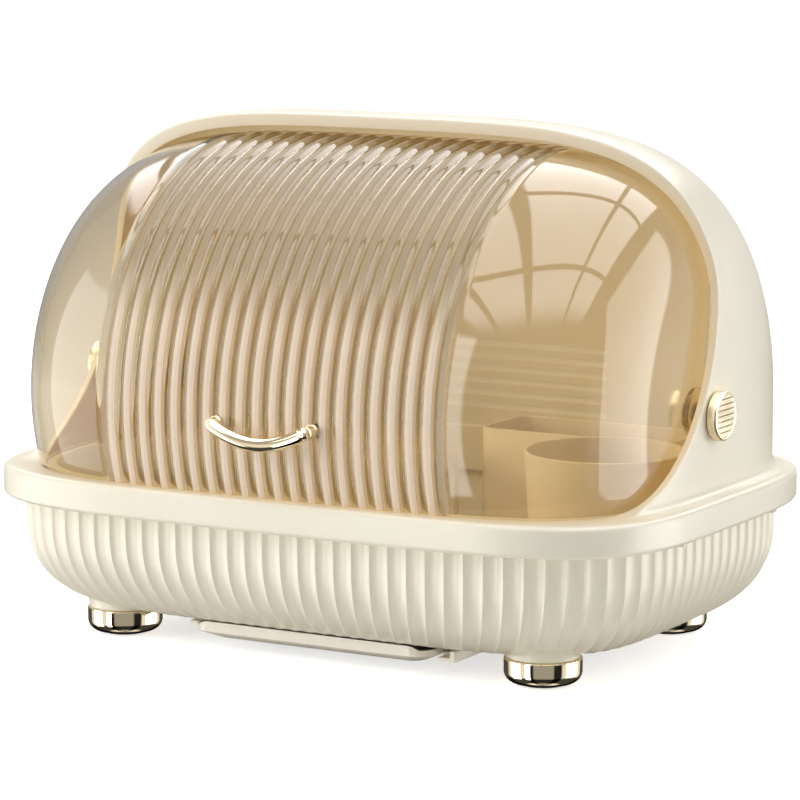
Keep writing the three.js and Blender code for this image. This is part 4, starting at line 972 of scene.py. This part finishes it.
# Inside pieces: a slotted board on legs, a hooped plate rack on two rails, a round cutlery cup and a low
# utensil box, all moulded in off-white plastic, and the nozzle that drains the tub into the tray.
inner_white = cream_plastic("inner_white", (0.87, 0.79, 0.65), (0.84, 0.755, 0.61))
softened("drain_board", "drain_board_skin", "board", inner_white, width=0.5)
softened("plate_rack", "plate_rack_skin", "rack", inner_white, width=0.9)
softened("utensil_box", "utensil_box_skin", "box", inner_white, width=0.5)
dress("drain_nozzle", inner_white)
cup_low, cup_high = np.array(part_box("cutlery_cup")) / MILLIMETRE
cup_place = (cup_low[:2] + cup_high[:2]) / 2
cup_radius, cup_foot_radius, cup_wall, cup_foot_round = 46.7, 42.0, 2.0, 4.0
cup_lip, cup_lip_ease, cup_heel = 1.0, 0.3, 3.0
cup_floor, cup_top = cup_low[2], cup_high[2]
cup_profile = [(0, cup_floor)]
cup_profile += [(cup_foot_radius - inset, cup_floor + rise) for inset, rise in quarter(cup_foot_round, 8)]
cup_profile += [(cup_radius, cup_top - cup_lip), (cup_radius - cup_lip_ease, cup_top - cup_lip_ease),
                (cup_radius - cup_lip, cup_top),
                (cup_radius - cup_wall + cup_lip_ease, cup_top - cup_lip_ease),
                (cup_radius - cup_wall, cup_top - cup_lip),
                (cup_foot_radius - cup_wall, cup_floor + cup_foot_round),
                (cup_foot_radius - cup_wall - cup_heel, cup_floor + cup_wall), (0, cup_floor + cup_wall)]
skin("cutlery_cup_skin", turned(cup_profile, cup_place), "cup", "cutlery_cup", inner_white)

# Floor: a plain pale plane under the feet. It glows a little for the camera and isn't mirrored in the
# piece, which mirrors the room's own floor instead.
floor_reach, floor_glow = 9.0, 0.62
floor_mesh = bpy.data.meshes.new("floor")
floor_corners = [(x * floor_reach, y * floor_reach, 0) for x, y in ((-1, -1), (1, -1), (1, 1), (-1, 1))]
floor_mesh.from_pydata(floor_corners, [], [(0, 1, 2, 3)])
floor = put("floor", floor_mesh)
floor_white = painted("floor_white", (0.9, 0.9, 0.9), roughness=0.9)
rays = wire(floor_white, "ShaderNodeLightPath")
seen = figure(floor_white, "MULTIPLY", rays.outputs["Is Camera Ray"], floor_glow)
shade(floor_white, Emission_Color=(1, 1, 1), Emission_Strength=seen)
floor_mesh.materials.append(floor_white)
floor.visible_glossy = False

# Room: the world is white for the camera and even for soft light. Polished pieces mirror a room made of
# formulas: bright and dark walls by azimuth, three tall strips, and a barred window overhead.
room_level, seen_through_level = 0.44, 0.5
low_levels = [(-180, 0.08), (-97, 0.08), (-87, 0.9), (-28, 0.9), (-20, 0.02), (-3, 0.02), (2, 0.36),
              (57, 0.36), (62, 0.02), (82, 0.02), (88, 0.9), (158, 0.9), (166, 0.08), (180, 0.08)]
wall_levels = [(-180, 0.6), (-140, 0.4), (-125, 0.2), (-84, 0.2), (-78, 0.9), (-28, 0.9), (-14, 0.2),
               (-3, 0.2), (4, 0.4), (57, 0.4), (62, 0.15), (82, 0.15), (88, 0.95), (160, 0.95), (180, 0.6)]
levels_meet, ceiling_fade = (-0.1, -0.02), (0.02, 0.3)
dark_floor_start, dark_floor_end, dark_floor_level = (-0.52, -0.34), (-0.96, -0.88), 0.07
strip_bands = [(100, 144, -0.38, 0.46, 3.7), (-26, -11, -0.55, 0.55, 6.0), (-78, -43, -0.55, 0.5, 3.0)]
strip_soft_side, strip_soft_end = 1.0, 0.02
window_turn, window_level, window_shift, window_rise = np.radians(27), 5.4, 0.05, (0.1, 0.3)
window_behind, window_before, window_sides, window_soft = (-2.1, -1.5), (0.75, 1.3), (-0.8, 1.2), 0.05
upright_bars, cross_bars = ((-0.57, 0.03), (-0.11, 0.042), (0.58, 0.03)), ((-0.44, 0.03), (0.42, 0.03))
bar_soft, least_rise = 0.012, 0.02
world = bpy.data.worlds.new("world")
bpy.context.scene.world = world
world.use_nodes = True
sky = world.node_tree.nodes["Background"]
rays = wire(world, "ShaderNodeLightPath")
way = wire(world, "ShaderNodeSeparateXYZ", Vector=wire(world, "ShaderNodeTexCoord").outputs["Generated"])
right, back, up = way.outputs["X"], way.outputs["Y"], way.outputs["Z"]


def summed(*values):
    """Sum of several sockets or numbers."""
    total = values[0]
    for value in values[1:]:
        total = figure(world, "ADD", total, value)
    return total


def product(*values):
    """Product of several sockets or numbers."""
    total = values[0]
    for value in values[1:]:
        total = figure(world, "MULTIPLY", total, value)
    return total


def rest_of(value):
    """What a value leaves of one."""
    return figure(world, "SUBTRACT", 1.0, value)


def within(value, low, high, soft):
    """1 where a value lies between low and high, and 0 outside, over soft edges."""
    return product(ramped(world, value, low - soft, low + soft),
                   ramped(world, value, high + soft, high - soft))


def wall_profile(levels):
    """Brightness of the walls by azimuth: straight runs between the levels at the given degrees."""
    turn = figure(world, "DIVIDE", summed(azimuth, 180.0), 360.0)
    ramp = wire(world, "ShaderNodeValToRGB", Fac=turn)
    while len(ramp.color_ramp.elements) < len(levels):
        ramp.color_ramp.elements.new(0.5)
    for stop, (place, level) in zip(ramp.color_ramp.elements, levels):
        stop.position = (place + 180) / 360
        stop.color = (level, level, level, 1)
    return ramp.outputs["Color"]


azimuth = product(figure(world, "ARCTAN2", right, product(back, -1.0)), 180 / np.pi)
walls = summed(product(wall_profile(low_levels), ramped(world, up, *levels_meet[::-1])),
               product(wall_profile(wall_levels), ramped(world, up, *levels_meet)))
walls = product(walls, ramped(world, up, *ceiling_fade[::-1]),
                summed(ramped(world, up, *dark_floor_start, dark_floor_level),
                       ramped(world, up, *dark_floor_end[::-1])))
strips = [product(within(azimuth, first, last, strip_soft_side), within(up, low, high, strip_soft_end), level)
          for first, last, low, high, level in strip_bands]
overhead = figure(world, "MAXIMUM", up, least_rise)
toward = summed(product(right, np.sin(window_turn)), product(back, -np.cos(window_turn)))
beside = summed(product(right, np.cos(window_turn)), product(back, np.sin(window_turn)))
toward = summed(figure(world, "DIVIDE", toward, overhead), window_shift)
beside = summed(figure(world, "DIVIDE", beside, overhead), window_shift)
window = product(ramped(world, toward, *window_behind), ramped(world, toward, *window_before[::-1]),
                 within(beside, *window_sides, window_soft), ramped(world, up, *window_rise), window_level)
for across, bars in ((beside, upright_bars), (toward, cross_bars)):
    for bar, half in bars:
        window = product(window, rest_of(within(across, bar - half, bar + half, bar_soft)))
room = summed(walls, product(ramped(world, up, *ceiling_fade), room_level), window, *strips)
glossy, seen, through = (rays.outputs[f"Is {word} Ray"] for word in ("Glossy", "Camera", "Transmission"))
light = summed(product(room, glossy), product(rest_of(glossy), room_level))
light = summed(product(light, rest_of(figure(world, "MAXIMUM", seen, through))), seen,
               product(through, seen_through_level))
feed(world, sky.inputs["Strength"], light)
feed(world, sky.inputs["Color"], (1, 1, 1))

# Lamps: one large soft lamp on each side and one overhead, which the gloss doesn't mirror, and a faint
# one under the cover that lifts the dark inside.
object_middle = (0, 0, 0.15)


def aimed(place, aim):
    """Matrix that puts a lamp or the camera at a place and turns it to a point."""
    turn = (Vector(aim) - Vector(place)).to_track_quat("-Z", "Y")
    return Matrix.Translation(place) @ turn.to_matrix().to_4x4()


def round_place(azimuth, distance, z):
    """Place on a circle around the object, by azimuth in degrees from the front to the right."""
    turn = np.radians(azimuth)
    return np.sin(turn) * distance, -np.cos(turn) * distance, z


def lamp(name, place, aim, width, height, power):
    """Soft rectangular lamp at a place, turned to a point. It gives light and shows in no reflection."""
    light = bpy.data.lights.new(name, "AREA")
    light.shape, light.size, light.size_y, light.energy = "RECTANGLE", width, height, power
    piece = put(name, light)
    piece.matrix_world = aimed(place, aim)
    piece.visible_camera = piece.visible_glossy = piece.visible_transmission = False


lamp("key_left", round_place(-55, 2.4, 1.0), object_middle, width=1.2, height=1.8, power=34.4)
lamp("key_right", round_place(112, 2.3, 0.8), object_middle, width=1.4, height=1.8, power=13.4)
lamp("key_top", (0, 0, 2.4), object_middle, width=1.8, height=1.4, power=16.8)
lamp("inside_fill", (0, -0.02, 0.285), (0, 0.06, 0), width=0.26, height=0.1, power=0.095)

# Camera: at the photograph's place, found by fitting the outline, and aimed a little beside the middle as
# the photograph is framed.
camera_azimuth, camera_elevation = 29.86, np.radians(8.32)
camera_distance, camera_middle = 2.2757, Vector((0, 0, 0.160))
aim_right, aim_down = 0.00145, 0.0208
level_distance = np.cos(camera_elevation)
away = Vector(round_place(camera_azimuth, level_distance, np.sin(camera_elevation)))
camera_right = (-away).cross(Vector((0, 0, 1))).normalized()
camera_up = camera_right.cross(-away)
camera_data = bpy.data.cameras.new("camera")
camera_data.sensor_width, camera_data.lens = 36.0, 173.5
camera = put("camera", camera_data)
camera.matrix_world = aimed(camera_middle + away * camera_distance,
                            camera_middle + camera_right * aim_right - camera_up * aim_down)
bpy.context.scene.camera = camera
bpy.context.scene.view_settings.view_transform = "Standard"
